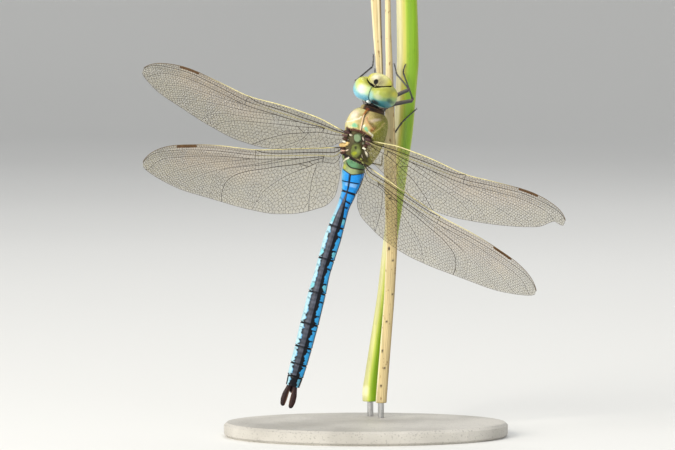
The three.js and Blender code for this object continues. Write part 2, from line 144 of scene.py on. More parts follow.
turn = np.linspace(0, 2 * np.pi, CARD_COLUMNS, endpoint=False)
climb = np.linspace(0, np.pi / 2, CARD_STEPS)
reach = np.concatenate([[0.02, 0.5, 1.2], CARD_FLAT + CARD_SWEEP * np.sin(climb)])
rise = np.concatenate([[0, 0, 0], CARD_SWEEP * (1 - np.cos(climb))])
cove_grid = np.stack([reach[:, None] * np.cos(turn), reach[:, None] * np.sin(turn),
                      np.broadcast_to(rise[:, None], (len(rise), CARD_COLUMNS))], axis=-1)
cove_faces = tube_faces(len(reach), CARD_COLUMNS)[:-CARD_COLUMNS]

card, card_tree, card_shader = new_finish("pale_card", Roughness=0.9)
card_place = add_node(card_tree, "TexCoord").outputs["Object"]
card_tone = mottle(card_tree, card_place, 1.3, 2.0)
card_tree.links.new(graded(card_tree, card_tone, (0.8, 0.795, 0.77, 1), (0.84, 0.835, 0.81, 1)),
                    card_shader.inputs["Base Color"])
cove = make_piece("cove", closed(cove_grid), cove_faces, card)

world = bpy.data.worlds.new("soft_room")
world.use_nodes = True
sky_light = world.node_tree.nodes["Background"]
sky_light.inputs["Color"].default_value = (0.95, 0.97, 1.0, 1)
sky_light.inputs["Strength"].default_value = 0.5
bpy.context.scene.world = world


def add_lamp(name, place, aim, size, power, colour):
    """Round soft lamp at a place, turned to its aim."""
    lamp = bpy.data.lights.new(name, "AREA")
    lamp.shape = "DISK"
    lamp.size = size
    lamp.energy = power
    lamp.color = colour
    holder = bpy.data.objects.new(name, lamp)
    holder.location = place
    holder.rotation_euler = (Vector(aim) - Vector(place)).to_track_quat("-Z", "Y").to_euler()
    bpy.context.scene.collection.objects.link(holder)


middle = (cad_low + cad_high) / 2
add_lamp("key_lamp", (-0.75, -0.95, 0.6), middle, size=0.8, power=16, colour=(1.0, 0.96, 0.88))
add_lamp("side_lamp", (-1.2, -0.3, 0.35), middle, size=0.5, power=4, colour=(1.0, 0.98, 0.94))
add_lamp("fill_lamp", (0.55, -1.2, 0.45), middle, size=1.0, power=3, colour=(0.93, 0.97, 1.0))
add_lamp("top_lamp", (0.1, 0.5, 1.2), middle, size=0.9, power=5, colour=(1.0, 1.0, 1.0))

# The camera looks a little down on the display from straight in front of the insect's back.
AIM_HEIGHT = 47.64
AIM_SIDE = -6.41
VIEW_REACH = 0.9
VIEW_RISE = math.radians(3)
VIEW_SPAN = 151.74

aim = Vector((AIM_SIDE * MM, 0, cad_low.z + AIM_HEIGHT * MM))
lens = bpy.data.cameras.new("camera")
lens.sensor_width = 36
lens.lens = lens.sensor_width * VIEW_REACH / (VIEW_SPAN * MM)
lens.clip_start = 0.02
camera = bpy.data.objects.new("camera", lens)
camera.location = aim + VIEW_REACH * Vector((0, -math.cos(VIEW_RISE), math.sin(VIEW_RISE)))
camera.rotation_euler = (math.pi / 2 - VIEW_RISE, 0, 0)
bpy.context.scene.collection.objects.link(camera)
bpy.context.scene.camera = camera
bpy.context.scene.view_settings.view_transform = "Standard"

# ---------------------------------------------------------------------------------------------
# Display stand: an oval plate of cast stone with a bevelled rim, and two short steel rods pushed
# up into the cut feet of the stems. The CAD solids are already right and only get their finish.
# ---------------------------------------------------------------------------------------------


def screen_colour(red, green, blue):
    """Light a colour gives off, from its screen values of 0 to 255, with 1 for its opacity."""
    part = np.array([red, green, blue]) / 255
    light = np.where(part > 0.04045, ((part + 0.055) / 1.055) ** 2.4, part / 12.92)
    return np.append(light, 1.0)


def grey(value):
    """Opaque grey of one brightness."""
    return (value, value, value, 1.0)


def multiplied(tree, first, second):
    """Two colours multiplied with each other."""
    node = add_node(tree, "Mix", {0: 1.0, 6: first, 7: second}, data_type="RGBA", blend_type="MULTIPLY")
    return node.outputs[2]


def bump(tree, height, strength, distance, under=None):
    """Small relief from a height, over an earlier relief where there is one."""
    inputs = {"Height": height, "Strength": strength, "Distance": distance}
    if under is not None:
        inputs["Normal"] = under
    return add_node(tree, "Bump", inputs).outputs["Normal"]


stone, stone_tree, stone_shader = new_finish("cast_stone", Roughness=0.6)
stone_place = add_node(stone_tree, "TexCoord").outputs["Object"]
stone_cloud = graded(stone_tree, mottle(stone_tree, stone_place, 60, 6.0),
                     screen_colour(176, 172, 164), screen_colour(205, 201, 193), 0.35, 0.65)
stone_grain = mottle(stone_tree, stone_place, 2400, 3.0)
stone_speck = graded(stone_tree, stone_grain, grey(0.72), grey(1.0), 0.34, 0.42)
stone_tree.links.new(multiplied(stone_tree, stone_cloud, stone_speck), stone_shader.inputs["Base Color"])
stone_tree.links.new(graded(stone_tree, stone_grain, grey(0.5), grey(0.72)),
                     stone_shader.inputs["Roughness"])
stone_tree.links.new(bump(stone_tree, stone_grain, 0.25, 0.0001), stone_shader.inputs["Normal"])
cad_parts["stand_base"].material_slots[0].material = stone

steel, steel_tree, steel_shader = new_finish("drawn_steel", Metallic=1.0, Roughness=0.3)
steel_place = add_node(steel_tree, "TexCoord").outputs["Object"]
steel_draw = mottle(steel_tree, steel_place, 900, 4.0, (3, 3, 0.15))
steel_tree.links.new(graded(steel_tree, steel_draw, grey(0.45), grey(0.62)),
                     steel_shader.inputs["Base Color"])
steel_tree.links.new(graded(steel_tree, steel_draw, grey(0.22), grey(0.4)),
                     steel_shader.inputs["Roughness"])
steel_tree.links.new(bump(steel_tree, steel_draw, 0.2, 0.00003), steel_shader.inputs["Normal"])
for rod in ("stand_rod_dry", "stand_rod_green"):
    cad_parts[rod].material_slots[0].material = steel

# ---------------------------------------------------------------------------------------------
# Perch: a dead, straw-coloured reed stem with a rolled leaf sheath beside its upper half, and a
# fresh green stem behind them. Each is a ribbed, hollow tube, cut level at both ends.
# ---------------------------------------------------------------------------------------------
STEM_FOOT = 6.6
STEM_TOP = 101.2
STEM_WALL = 0.66
STEM_HOLLOW = 1.4
STEM_ROWS = 260
STEM_COLUMNS = 104
SHEATH_GAP = 0.12
# The outer edge of a cut is rounded: it is this far in from the end, and this part as wide.
RIM_DROP = 0.03
RIM_INSET = 0.97
HOLLOW_FLOOR = 0.05
# Rows of [height, sideways place, half width].
DRY_ROWS = [[STEM_FOOT, 3.5, 1.25], [31, 5.4, 1.2], [42, 5.9, 1.3], [52, 5.75, 1.4], [62, 5.5, 1.45],
            [68, 5.5, 1.2], [84, 5.32, 0.78], [90, 5.1, 0.7], [STEM_TOP, 4.92, 0.6]]
SHEATH_ROWS = [[69.5, 3.75, 0.4], [75.5, 3.5, 0.6], [84, 3.05, 0.85], [90, 2.69, 1.0],
               [STEM_TOP, 2.14, 1.25]]
GREEN_ROWS = [[STEM_FOOT, 1.1, 1.8], [9, 1.2, 2.0], [12, 1.5, 1.75], [31, 4.3, 1.6], [44, 5.7, 1.6],
              [52, 6.8, 1.75], [68, 8.6, 2.15], [84, 9.62, 2.5], [90, 9.55, 2.45],
              [STEM_TOP, 9.25, 2.35]]


def read_rows(rows, column, at, width):
    """Value of a column of rows at each place: straight runs between the rows, rounded off by
    averaging over a width to both sides. A row starts with its place."""
    table = np.asarray(rows, float)
    spread = np.linspace(-1, 1, 9) * np.asarray(width)[..., None]
    return np.interp(at[..., None] + spread, table[:, 0], table[:, column]).mean(axis=-1)


def smooth_step(value, start, end):
    """0 before start, 1 after end, and the cubic 3t^2 - 2t^3 between them."""
    t = np.clip((value - start) / (end - start), 0, 1)
    return t * t * (3 - 2 * t)


def band(value, centre, half, soft):
    """1 within `half` of a centre, falling to 0 over `soft` beyond it."""
    return 1 - smooth_step(np.abs(value - centre), half, half + soft)


def painted(colours, mask, colour):
    """Colours turned towards another one as far as the mask says."""
    return colours + mask[..., None] * (colour - colours)


def layered(colours, *layers):
    """Colours with each layer, a mask and its colour, painted over the ones before it."""
    for mask, colour in layers:
        colours = painted(colours, mask, colour)
    return colours


def all_over(colour, shape):
    """One colour at every point of a grid of a given shape."""
    return np.broadcast_to(colour, tuple(shape) + (4,))


def stem_surface(rows, depth, thickness, ribs, rib_depth):
    """Hollow oval tube. Its middle goes straight between the rows, an ellipse of half width w and
    half thickness t stands round it, cos(ribs * angle) raises the ribs, and at each end the
    profile turns in to the wall's inside and goes down the hollow. Gives the grid, the angle
    from the left edge over the front and the height of each point, and each row's share of w."""
    low, high = rows[0][0], rows[-1][0]
    shell = np.linspace(low, high, STEM_ROWS)
    height = np.concatenate([[low + STEM_HOLLOW, low + STEM_HOLLOW, low, low + RIM_DROP], shell[1:-1],
                             [high - RIM_DROP, high, high - STEM_HOLLOW, high - STEM_HOLLOW]])
    inset = np.concatenate([[HOLLOW_FLOOR, STEM_WALL, STEM_WALL, RIM_INSET], np.ones(STEM_ROWS - 2),
                            [RIM_INSET, STEM_WALL, STEM_WALL, HOLLOW_FLOOR]])
    angle = np.linspace(0, 2 * np.pi, STEM_COLUMNS, endpoint=False)
    centre = read_rows(rows, 1, height, 2.0)[:, None]
    half = read_rows(rows, 2, height, 1.0)[:, None] * inset[:, None]
    drift = 0.35 * np.sin(height / 9)[:, None]
    rib = 1 - rib_depth * (0.5 - 0.5 * np.cos(ribs * angle + drift))
    x = centre - half * rib * np.cos(angle)
    y = depth - thickness * inset[:, None] * rib * np.sin(angle)
    z = np.broadcast_to(height[:, None], x.shape)
    return np.stack([x, y, z], axis=-1), np.broadcast_to(angle, x.shape), z, inset


def mark_and_place(tree):
    """The marking colour that a piece's points hold, and each point's place."""
    mark = add_node(tree, "Attribute", attribute_name="marking")
    return mark.outputs["Color"], add_node(tree, "TexCoord").outputs["Object"]


def stem_material(name, rough, streaks, fleck):
    """Stem skin: the marking colour with long fibres drawn through it, and a fine fibre relief."""
    material, tree, shader = new_finish(name, Roughness=rough)
    colour, place = mark_and_place(tree)
    fibre = mottle(tree, place, 2600, 5.0, (1, 1, 0.035))
    broad = mottle(tree, place, 700, 4.0, (1, 1, 0.05))
    spot = mottle(tree, place, 1500, 2.0, (1, 1, 0.45))
    tone = multiplied(tree, colour, graded(tree, fibre, grey(streaks), grey(1.0)))
    tone = multiplied(tree, tone, graded(tree, broad, grey(streaks), grey(1.08)))
    tone = multiplied(tree, tone, graded(tree, spot, fleck, grey(1.0), 0.3, 0.36))
    tree.links.new(tone, shader.inputs["Base Color"])
    tree.links.new(graded(tree, broad, grey(rough - 0.1), grey(rough + 0.12)),
                   shader.inputs["Roughness"])
    relief = bump(tree, fibre, 0.5, 0.00008)
    tree.links.new(bump(tree, broad, 0.3, 0.0001, relief), shader.inputs["Normal"])
    return material


STRAW = screen_colour(224, 202, 148)
STRAW_PALE = screen_colour(246, 232, 188)
STRAW_BROWN = screen_colour(150, 112, 74)
SCAR_BROWN = screen_colour(58, 34, 22)
PITH = screen_colour(226, 214, 176)
LEAF_GREEN = screen_colour(136, 180, 26)
LEAF_YELLOW = screen_colour(214, 222, 92)
LEAF_CREAM = screen_colour(255, 250, 200)
LEAF_SHADE = screen_colour(84, 140, 30)
LEAF_FOOT_GREEN = screen_colour(206, 206, 122)
LEAF_TAN = screen_colour(220, 190, 120)

straw_finish = stem_material("dry_reed_skin", rough=0.72, streaks=0.74, fleck=(0.5, 0.38, 0.27, 1))
green_finish = stem_material("green_reed_skin", rough=0.34, streaks=0.86, fleck=(0.9, 0.92, 0.8, 1))

# Old leaf scars and dark specks on the dry stem: [height, angle over the front, length].
SCARS = [[41.8, 1.1, 0.7], [39.2, 1.9, 0.5], [25.2, 1.4, 0.6], [18.5, 1.0, 0.5], [14.6, 1.7, 0.6],
         [31.5, 2.2, 0.4], [53.3, 1.5, 0.5], [58.2, 1.0, 0.4], [47.0, 2.4, 0.4], [10.5, 1.3, 0.5]]


def stem_marks(colours, inset):
    """Marking of a stem as the points of its piece hold it, its cut ends turned to pith."""
    return {"marking": closed(painted(colours, smooth_step(0.96 - inset, 0, 0.05)[:, None], PITH))}


dry_grid, dry_angle, dry_height, dry_inset = stem_surface(DRY_ROWS, depth=9.5, thickness=1.06, ribs=17,
                                                          rib_depth=0.05)
# Above 55 mm the front of the dry stem is painted paler: painted light.
dry_tone = layered(all_over(STRAW, dry_angle.shape),
                   (band(dry_angle, 0.15, 0.25, 0.35), STRAW_PALE),
                   (0.5 * band(dry_angle, 2.75, 0.1, 0.25), STRAW_BROWN),
                   (0.5 * smooth_step(dry_height, 55, 66) * band(dry_angle, 0.9, 0.5, 0.5), STRAW_PALE))
for scar_height, scar_angle, scar_length in SCARS:
    scar = (band(dry_height, scar_height, 0.25 * scar_length, 0.4 * scar_length) *
            band(dry_angle, scar_angle, 0.12, 0.16))
    dry_tone = painted(dry_tone, scar, SCAR_BROWN)
dry_stem = make_piece("reed_dry", closed(dry_grid) * MM, tube_faces(*dry_angle.shape), straw_finish,
                      stem_marks(dry_tone, dry_inset))
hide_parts("perch_stem_dry")
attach(dry_stem, "root")

green_grid, green_angle, green_height, green_inset = stem_surface(
    GREEN_ROWS, depth=13.4, thickness=1.66, ribs=26, rib_depth=0.018)
# Towards the foot the pale front of the green stem turns a duller yellow-green.
green_tone = layered(all_over(LEAF_GREEN, green_angle.shape),
                     (1 - smooth_step(green_angle, 1.1, 1.8), LEAF_YELLOW),
                     (1 - smooth_step(green_angle, 0.8, 1.3), LEAF_CREAM),
                     (0.75 * (1 - smooth_step(green_height, 25, 55)) *
                      (1 - smooth_step(green_angle, 0.9, 1.4)), LEAF_FOOT_GREEN),
                     (0.4 * smooth_step(green_height, 55, 80) * band(green_angle, 1.2, 0.1, 0.2), LEAF_TAN),
                     (band(green_angle, 4.4, 0.9, 1.0), LEAF_SHADE),
                     (0.5 * smooth_step(green_angle, 2.4, 2.9) *
                      (1 - smooth_step(green_angle, 3.6, 4.2)), LEAF_YELLOW),
                     (band(green_height, 9.0, 0.5, 1.2) * band(green_angle, 0.2, 0.7, 0.6), LEAF_CREAM))
green_stem = make_piece("reed_green", closed(green_grid) * MM, tube_faces(*green_angle.shape),
                        green_finish, stem_marks(green_tone, green_inset))
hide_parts("perch_stem_green")
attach(green_stem, "root")

# The sheath is a dead leaf base, rolled edge to edge: an oval pressed flat where it meets the stem.
sheath_grid, sheath_angle, sheath_height, sheath_inset = stem_surface(
    SHEATH_ROWS, depth=9.7, thickness=0.56, ribs=9, rib_depth=0.08)
dry_edge = read_rows(DRY_ROWS, 1, sheath_height, 2.0) - read_rows(DRY_ROWS, 2, sheath_height, 1.0)
sheath_grid[..., 0] = np.minimum(sheath_grid[..., 0], dry_edge - SHEATH_GAP)
sheath_tone = layered(all_over(STRAW, sheath_angle.shape),
                      (band(sheath_angle, 0.3, 0.3, 0.4), STRAW_PALE),
                      (band(sheath_angle, 2.05, 0.12, 0.2), STRAW_PALE),
                      (0.8 * band(sheath_angle, 2.75, 0.18, 0.3), SCAR_BROWN),
                      (0.8 * (1 - smooth_step(sheath_height, 69.5, 72)), STRAW_BROWN))
sheath = make_piece("reed_sheath", closed(sheath_grid) * MM, tube_faces(*sheath_angle.shape),
                    straw_finish, stem_marks(sheath_tone, sheath_inset))
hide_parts("perch_sheath_dry")
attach(sheath, "root")

# ---------------------------------------------------------------------------------------------
# Trunk: the hard skin of neck, collar, thorax and the ten rings of the abdomen, in one piece.
# Chitin plates, dull and a little hairy in front, polished like lacquer behind the wings.
# ---------------------------------------------------------------------------------------------
WAIST = np.array([-2.75, 0, 60.9])
BODY_LEAN = math.radians(17)
BODY_ROLL = math.radians(-14)
SKIN_DEPTH = 0.04
TRUNK_POWER = 2.25
TRUNK_FRONT, TRUNK_MIDDLE, TRUNK_END = -15.0, 0.2, 51.38
FRONT_RINGS, REAR_RINGS = 230, 400
TRUNK_COLUMNS = 152
COLUMN_CROWDING = 0.6
SEGMENT_ENDS = np.cumsum([1.5, 4.1, 8.2, 7.6, 7.8, 7.2, 5.4, 4.0, 3.0, 2.6])
# Rows of [distance behind the waist, half width, top, bottom].
TRUNK_ROWS = [[-15.05, 1.5, 0.9, -1.6], [-14.55, 1.3, 0.8, -1.4], [-14.05, 1.5, 0.9, -1.6],
              [-13.98, 2.3, 1.5, -4.2], [-13.4, 2.75, 1.9, -4.7], [-12.98, 2.6, 1.7, -4.4],
              [-12.9, 2.9, 1.9, -3.9], [-12.3, 3.6, 2.6, -4.8], [-11.2, 4.2, 3.7, -5.9],
              [-9.8, 4.6, 4.6, -6.6], [-8.6, 4.7, 5.0, -6.9], [-7.6, 4.7, 4.4, -6.9],
              [-6.2, 4.6, 4.2, -6.6], [-4.4, 4.4, 4.2, -6.0], [-2.6, 4.0, 3.9, -5.0],
              [-1.0, 3.4, 2.9, -3.9], [-0.1, 2.5, 2.3, -2.6], [0.3, 2.4, 2.2, -2.25],
              [1.3, 2.6, 2.4, -2.4], [3.4, 2.4, 2.3, -2.3], [5.6, 1.75, 1.8, -1.8],
              [9.4, 1.42, 1.45, -1.45], [13.8, 1.8, 1.5, -1.5], [17.2, 2.02, 1.6, -1.6],
              [21.4, 1.9, 1.6, -1.6], [25.2, 1.8, 1.55, -1.55], [29.2, 2.03, 1.6, -1.6],
              [36.4, 2.12, 1.65, -1.65], [41.8, 2.02, 1.6, -1.6], [45.8, 1.96, 1.55, -1.55],
              [48.8, 1.85, 1.45, -1.45], [51.4, 1.6, 1.25, -1.25]]
# Rows of [distance behind the waist, sideways, up] of the line that the abdomen follows.
TRUNK_LINE = [[-16, 0, 0], [-1, 0, 0], [0, 0, -0.2], [5, 0.75, -0.5], [9.5, 0.35, -0.3], [16, 0.2, 0],
              [25, 0.3, 0.2], [33, 0.75, 0.3], [42, 1.15, 0.1], [51.4, 1.3, -0.3]]


def turned(axis, angle):
    """Matrix that turns columns about x, y or z by the right-hand rule."""
    c, s = math.cos(angle), math.sin(angle)
    if axis == "x":
        return np.array([[1, 0, 0], [0, c, -s], [0, s, c]])
    if axis == "y":
        return np.array([[c, 0, s], [0, 1, 0], [-s, 0, c]])
    return np.array([[c, -s, 0], [s, c, 0], [0, 0, 1]])


BODY_TURN = turned("y", BODY_LEAN) @ turned("x", math.pi / 2) @ turned("y", BODY_ROLL)


def on_body(points):
    """Points of the insect's frame, in millimetres, brought to the display's frame in metres."""
    return (WAIST + points @ BODY_TURN.T) * MM


def unit(vectors):
    """Vectors brought to length 1 along their last axis."""
    return vectors / (np.linalg.norm(vectors, axis=-1, keepdims=True) + 1e-12)


def ring_normals(grid):
    """Unit normals of a grid of rings: the cross of its steps along and round, turned outwards."""
    along = np.gradient(grid, axis=0)
    around = np.roll(grid, -1, axis=1) - np.roll(grid, 1, axis=1)
    normal = unit(np.cross(around, along))
    facing = ((grid - grid.mean(axis=1, keepdims=True)) * normal).sum(axis=-1)
    return normal * np.where(facing.mean() < 0, -1, 1)


def outward(points, faces):
    """Faces turned so that the form's volume, the sum of its corner products, is positive."""
    corners = np.array([face[:3] for face in faces])
    a, b, c = (points[corners[:, k]] for k in range(3))
    if (a * np.cross(b, c)).sum() < 0:
        return [face[::-1] for face in faces]
    return faces


def superellipse(angle, power):
    """Cosine and sine of an angle, each raised to 2 / power with its sign kept."""
    c, s = np.cos(angle), np.sin(angle)
    return np.sign(c) * np.abs(c) ** (2 / power), np.sign(s) * np.abs(s) ** (2 / power)


distance = np.concatenate([np.linspace(TRUNK_FRONT, TRUNK_MIDDLE, FRONT_RINGS, endpoint=False),
                           np.linspace(TRUNK_MIDDLE, TRUNK_END, REAR_RINGS)])
part = np.linspace(-0.5, 0.5, TRUNK_COLUMNS, endpoint=False)
# Columns crowd towards the back: its angle from the midline is 2 pi t - k sin(2 pi t).
off_midline = 2 * np.pi * part - COLUMN_CROWDING * np.sin(2 * np.pi * part)
round_width = np.where(distance < -12.6, 0.12, np.where(distance < 0.5, 0.45, 0.7))
half_width = read_rows(TRUNK_ROWS, 1, distance, round_width) - SKIN_DEPTH
crest = read_rows(TRUNK_ROWS, 2, distance, round_width) - SKIN_DEPTH
belly = read_rows(TRUNK_ROWS, 3, distance, round_width) + SKIN_DEPTH
line = np.stack([read_rows(TRUNK_LINE, 1, distance, 2.0), -distance,
                 read_rows(TRUNK_LINE, 2, distance, 2.0)], axis=-1)
heading = unit(np.gradient(line, axis=0))
sideways = unit(np.cross(heading, [0, 0, 1.0]))
upward = np.cross(sideways, -heading)
upward *= np.sign(upward[:, 2:3])
sideways *= np.sign(sideways[:, 0:1])
across, lift = superellipse(np.pi / 2 - off_midline, TRUNK_POWER)
ring_side = half_width[:, None] * across
ring_up = (crest + belly)[:, None] / 2 + (crest - belly)[:, None] / 2 * lift
trunk_grid = (line[:, None] + ring_side[..., None] * sideways[:, None] +
              ring_up[..., None] * upward[:, None])

d_at = np.broadcast_to(distance[:, None], ring_side.shape)
phi = np.broadcast_to(off_midline, ring_side.shape)
side_at = trunk_grid[..., 0]
fore_at = trunk_grid[..., 1]
on_back = smooth_step(np.pi / 2 - np.abs(phi), -0.1, 0.2)


def oval(x, y, place, radii, tilt=0.0, soft=0.3):
    """1 inside an oval with its long axis turned by a tilt, falling to 0 over its soft rim."""
    c, s = math.cos(tilt), math.sin(tilt)
    u = ((x - place[0]) * c + (y - place[1]) * s) / radii[0]
    v = (-(x - place[0]) * s + (y - place[1]) * c) / radii[1]
    return 1 - smooth_step(np.hypot(u, v), 1 - soft, 1 + soft)


def streak(x, y, start, end, half, soft):
    """1 within `half` of the straight run from start to end, falling to 0 over `soft` beyond."""
    run = np.array(end) - np.array(start)
    t = np.clip(((x - start[0]) * run[0] + (y - start[1]) * run[1]) / (run @ run), 0, 1)
    gap = np.hypot(x - start[0] - t * run[0], y - start[1] - t * run[1])
    return 1 - smooth_step(gap, half, half + soft)


# Relief of the thorax, in the insect's own x and y, with outlines that wander a little.
in_thorax = smooth_step(-d_at, 0.2, 0.6)
wx = side_at + 0.07 * np.sin(2.9 * fore_at + 0.8) + 0.03 * np.sin(7.7 * fore_at)
wy = fore_at + 0.07 * np.sin(2.6 * side_at + 2.1) + 0.03 * np.sin(8.3 * side_at)
carina_x = np.interp(fore_at, [8.5, 9.6, 10.5, 11.4, 12.4, 13.2], [0.12, 0.0, -0.18, -0.36, -0.46, -0.2])
carina = band(side_at, carina_x, 0.05, 0.15) * band(fore_at, 10.7, 2.2, 0.5) * on_back
humps = np.maximum(oval(side_at, fore_at, (-2.25, 10.9), (1.5, 1.5), 0, 0.85),
                   oval(side_at, fore_at, (2.05, 11.0), (1.5, 1.5), 0, 0.85))
ridge_y = np.interp(side_at, [-3.6, -2.3, -1.4, -0.6, 0.1, 1.1, 2.0, 2.8, 3.6],
                    [7.7, 7.68, 7.8, 7.92, 8.02, 7.74, 7.5, 7.3, 7.1])
ridge = band(wy, ridge_y + 0.05, 0.2, 0.22) * band(side_at, -0.4, 3.0, 0.5) * on_back
shoulder_left = np.maximum.reduce([streak(wx, wy, (-0.6, 11.1), (-0.95, 10.45), 0.05, 0.16),
                                   streak(wx, wy, (-0.95, 10.45), (-2.0, 9.8), 0.06, 0.16),
                                   streak(wx, wy, (-2.0, 9.8), (-4.2, 8.8), 0.05, 0.18)])
shoulder_right = np.maximum(streak(wx, wy, (0.4, 11.2), (1.1, 10.1), 0.05, 0.2),
                            streak(wx, wy, (1.1, 10.1), (2.7, 9.3), 0.05, 0.2))
step_down = smooth_step(9.55 + 0.25 * np.abs(side_at) - 0.12 * side_at ** 2 - fore_at, 0.0, 0.7) * on_back
basin = smooth_step(ridge_y - fore_at, 0.0, 0.3) * smooth_step(fore_at, 1.2, 1.8) * on_back
basin = basin * (1 - smooth_step(np.abs(side_at + 0.4), 3.6, 4.1))
side_seam = np.maximum(band(fore_at + 0.55 * trunk_grid[..., 2], 6.6, 0.05, 0.25),
                       band(fore_at + 0.55 * trunk_grid[..., 2], 2.6, 0.05, 0.25))
side_seam = side_seam * (1 - on_back) * band(fore_at, 6.0, 5.4, 0.6)
relief = 0.42 * humps + 0.2 * carina + 0.12 * (shoulder_left + shoulder_right)
relief += 0.3 * ridge - 0.18 * step_down - 0.2 * basin - 0.14 * side_seam

# Colours of the thorax: a tan front with a pale left flank, mint spots before the wing roots. The cream left
# half and the pale left flank are partly the own colour and partly painted light, lit from the left.
TAN = screen_colour(186, 168, 112)
CREAM = screen_colour(220, 208, 150)
HUMP_HIGHLIGHT_ROSE = screen_colour(232, 214, 194)
OLIVE = screen_colour(134, 134, 52)
MOSS = screen_colour(124, 132, 66)
RUST = screen_colour(172, 104, 38)
SIENNA = screen_colour(122, 58, 30)
UMBER = screen_colour(62, 38, 26)
SOOT = screen_colour(26, 20, 20)
MINT = screen_colour(128, 188, 148)
BONE = screen_colour(236, 228, 204)
side_share = smooth_step(np.abs(phi), 0.8, 1.35)
tone = layered(all_over(TAN, phi.shape),
               (smooth_step(-side_at, 0.2, 3.2), CREAM),
               (smooth_step(side_at, 1.6, 3.6), OLIVE),
               (0.8 * side_share * (phi < 0), screen_colour(208, 200, 116)),
               (smooth_step(np.abs(phi), 1.8, 2.5), MOSS))
# Washes of the front: [x, y, half width, half height, turn, softness, strength, colour]. The rose wash on
# the left hump and the pale ones at (2.35, 11.2) and (1.65, 10.6) on the right hump are painted highlights.
WASHES = [(-2.4, 10.9, 0.9, 1.1, 0.2, 0.7, 0.9, HUMP_HIGHLIGHT_ROSE), (-1.6, 12.4, 1.2, 0.7, -0.3, 0.6, 0.6, CREAM),
          (2.5, 12.2, 1.3, 0.8, -0.4, 0.6, 0.75, screen_colour(128, 112, 62)),
          (0.55, 11.0, 0.35, 1.1, 0.1, 0.6, 0.8, screen_colour(206, 168, 128)),
          (2.35, 11.2, 0.75, 0.3, 0.5, 0.7, 0.8, screen_colour(206, 188, 168)),
          (1.65, 10.6, 0.6, 0.25, 0.3, 0.7, 0.7, screen_colour(196, 176, 150)),
          (2.0, 10.0, 1.1, 0.4, -0.3, 0.6, 0.75, screen_colour(112, 94, 52)),
          (-0.5, 12.3, 0.28, 0.8, 0, 0.6, 0.95, RUST), (-0.05, 12.6, 0.25, 0.6, -0.3, 0.6, 0.8, UMBER),
          (2.65, 9.15, 0.42, 0.55, 0, 0.6, 0.95, screen_colour(132, 86, 40)),
          (-0.55, 8.9, 0.25, 0.5, 0.2, 0.4, 0.8, MOSS),
          (-2.9, 8.5, 0.9, 0.35, 0.1, 0.5, 0.8, screen_colour(206, 212, 170)),
          (-1.5, 8.82, 0.76, 0.5, 0.15, 0.4, 1.0, MINT),
          (0.55, 9.2, 0.28, 0.42, -0.3, 0.3, 1.0, screen_colour(214, 224, 200)),
          (1.4, 8.78, 0.62, 0.4, -0.75, 0.35, 1.0, MINT), (2.3, 8.25, 0.42, 0.24, -0.6, 0.3, 1.0, BONE),
          (2.85, 7.7, 0.18, 0.4, 0.2, 0.3, 1.0, BONE)]
for x, y, wide, high, tilt, soft, strength, hue in WASHES:
    tone = painted(tone, strength * oval(wx, wy, (x, y), (wide, high), tilt, soft) * on_back, hue)
tone = layered(tone,
               (0.85 * shoulder_left * on_back, BONE),
               (0.6 * shoulder_right * on_back, screen_colour(196, 150, 100)),
               (0.8 * np.maximum(streak(wx, wy, (3.97, 11.2), (3.64, 9.8), 0.05, 0.15),
                                 streak(wx, wy, (3.64, 9.8), (3.16, 8.5), 0.05, 0.15)),
                screen_colour(192, 174, 104)),
               (carina * smooth_step(fore_at, 13.0, 11.2), screen_colour(228, 196, 164)),
               (carina * smooth_step(fore_at, 11.4, 11.9), RUST),
               (band(side_at, carina_x + 0.26, 0.05, 0.1) * band(fore_at, 10.2, 1.9, 0.3) * on_back, UMBER),
               (0.95 * basin, screen_colour(66, 60, 36)),
               (ridge, screen_colour(84, 48, 40)))
# Plates between the wing roots: [x, y, half length, half width, turn, rise, colour].
PLATES = [(-2.9, 7.25, 0.7, 0.3, 0.1, 0.15, SOOT), (2.05, 7.15, 0.75, 0.34, -0.35, 0.2, SOOT),
          (-3.35, 6.45, 0.3, 0.42, 0, 0.2, screen_colour(160, 130, 124)),
          (-2.1, 6.55, 0.38, 0.2, -0.35, 0.3, BONE), (-2.8, 5.35, 0.32, 0.16, 0, 0.25, BONE),
          (-0.1, 6.4, 0.92, 0.92, 0, 0.55, screen_colour(118, 138, 104)),
          (1.25, 6.45, 0.42, 0.2, -1.0, 0.3, screen_colour(222, 206, 188)),
          (2.25, 6.2, 0.5, 0.18, -0.4, 0.25, screen_colour(128, 118, 122)),
          (1.45, 5.55, 0.28, 0.3, 0, 0.25, screen_colour(118, 122, 100)),
          (1.98, 5.02, 0.24, 0.18, 0.4, 0.25, BONE),
          (0.35, 3.5, 1.25, 1.65, 0.12, 0.5, screen_colour(104, 112, 56)),
          (-2.7, 4.35, 0.98, 0.5, 0.35, 0.35, screen_colour(214, 184, 122)),
          (-3.0, 2.55, 0.62, 0.3, 0.2, 0.3, screen_colour(206, 174, 150)),
          (-1.95, 2.95, 0.3, 0.22, 0.6, 0.25, screen_colour(222, 202, 176)),
          (2.7, 3.68, 0.86, 0.2, -1.04, 0.35, BONE),
          (2.12, 2.7, 0.5, 0.08, -1.0, 0.2, screen_colour(206, 192, 160)),
          (1.95, 1.9, 0.28, 0.22, 0, 0.2, screen_colour(150, 156, 70)),
          (2.38, 1.2, 0.34, 0.2, -0.6, 0.25, screen_colour(204, 214, 130))]
for x, y, long, wide, tilt, rise, hue in PLATES:
    soft = min(max(0.22, 0.11 / wide), 0.6)
    plate = oval(wx, wy, (x, y), (long, wide), tilt, soft) * on_back
    plate_rim = np.clip(oval(wx, wy, (x, y), (long + 0.18, wide + 0.18), tilt, soft) * on_back - plate, 0, 1)
    relief += rise * plate - 0.15 * plate_rim
    tone = layered(tone, (0.85 * plate_rim, SOOT), (plate, hue))
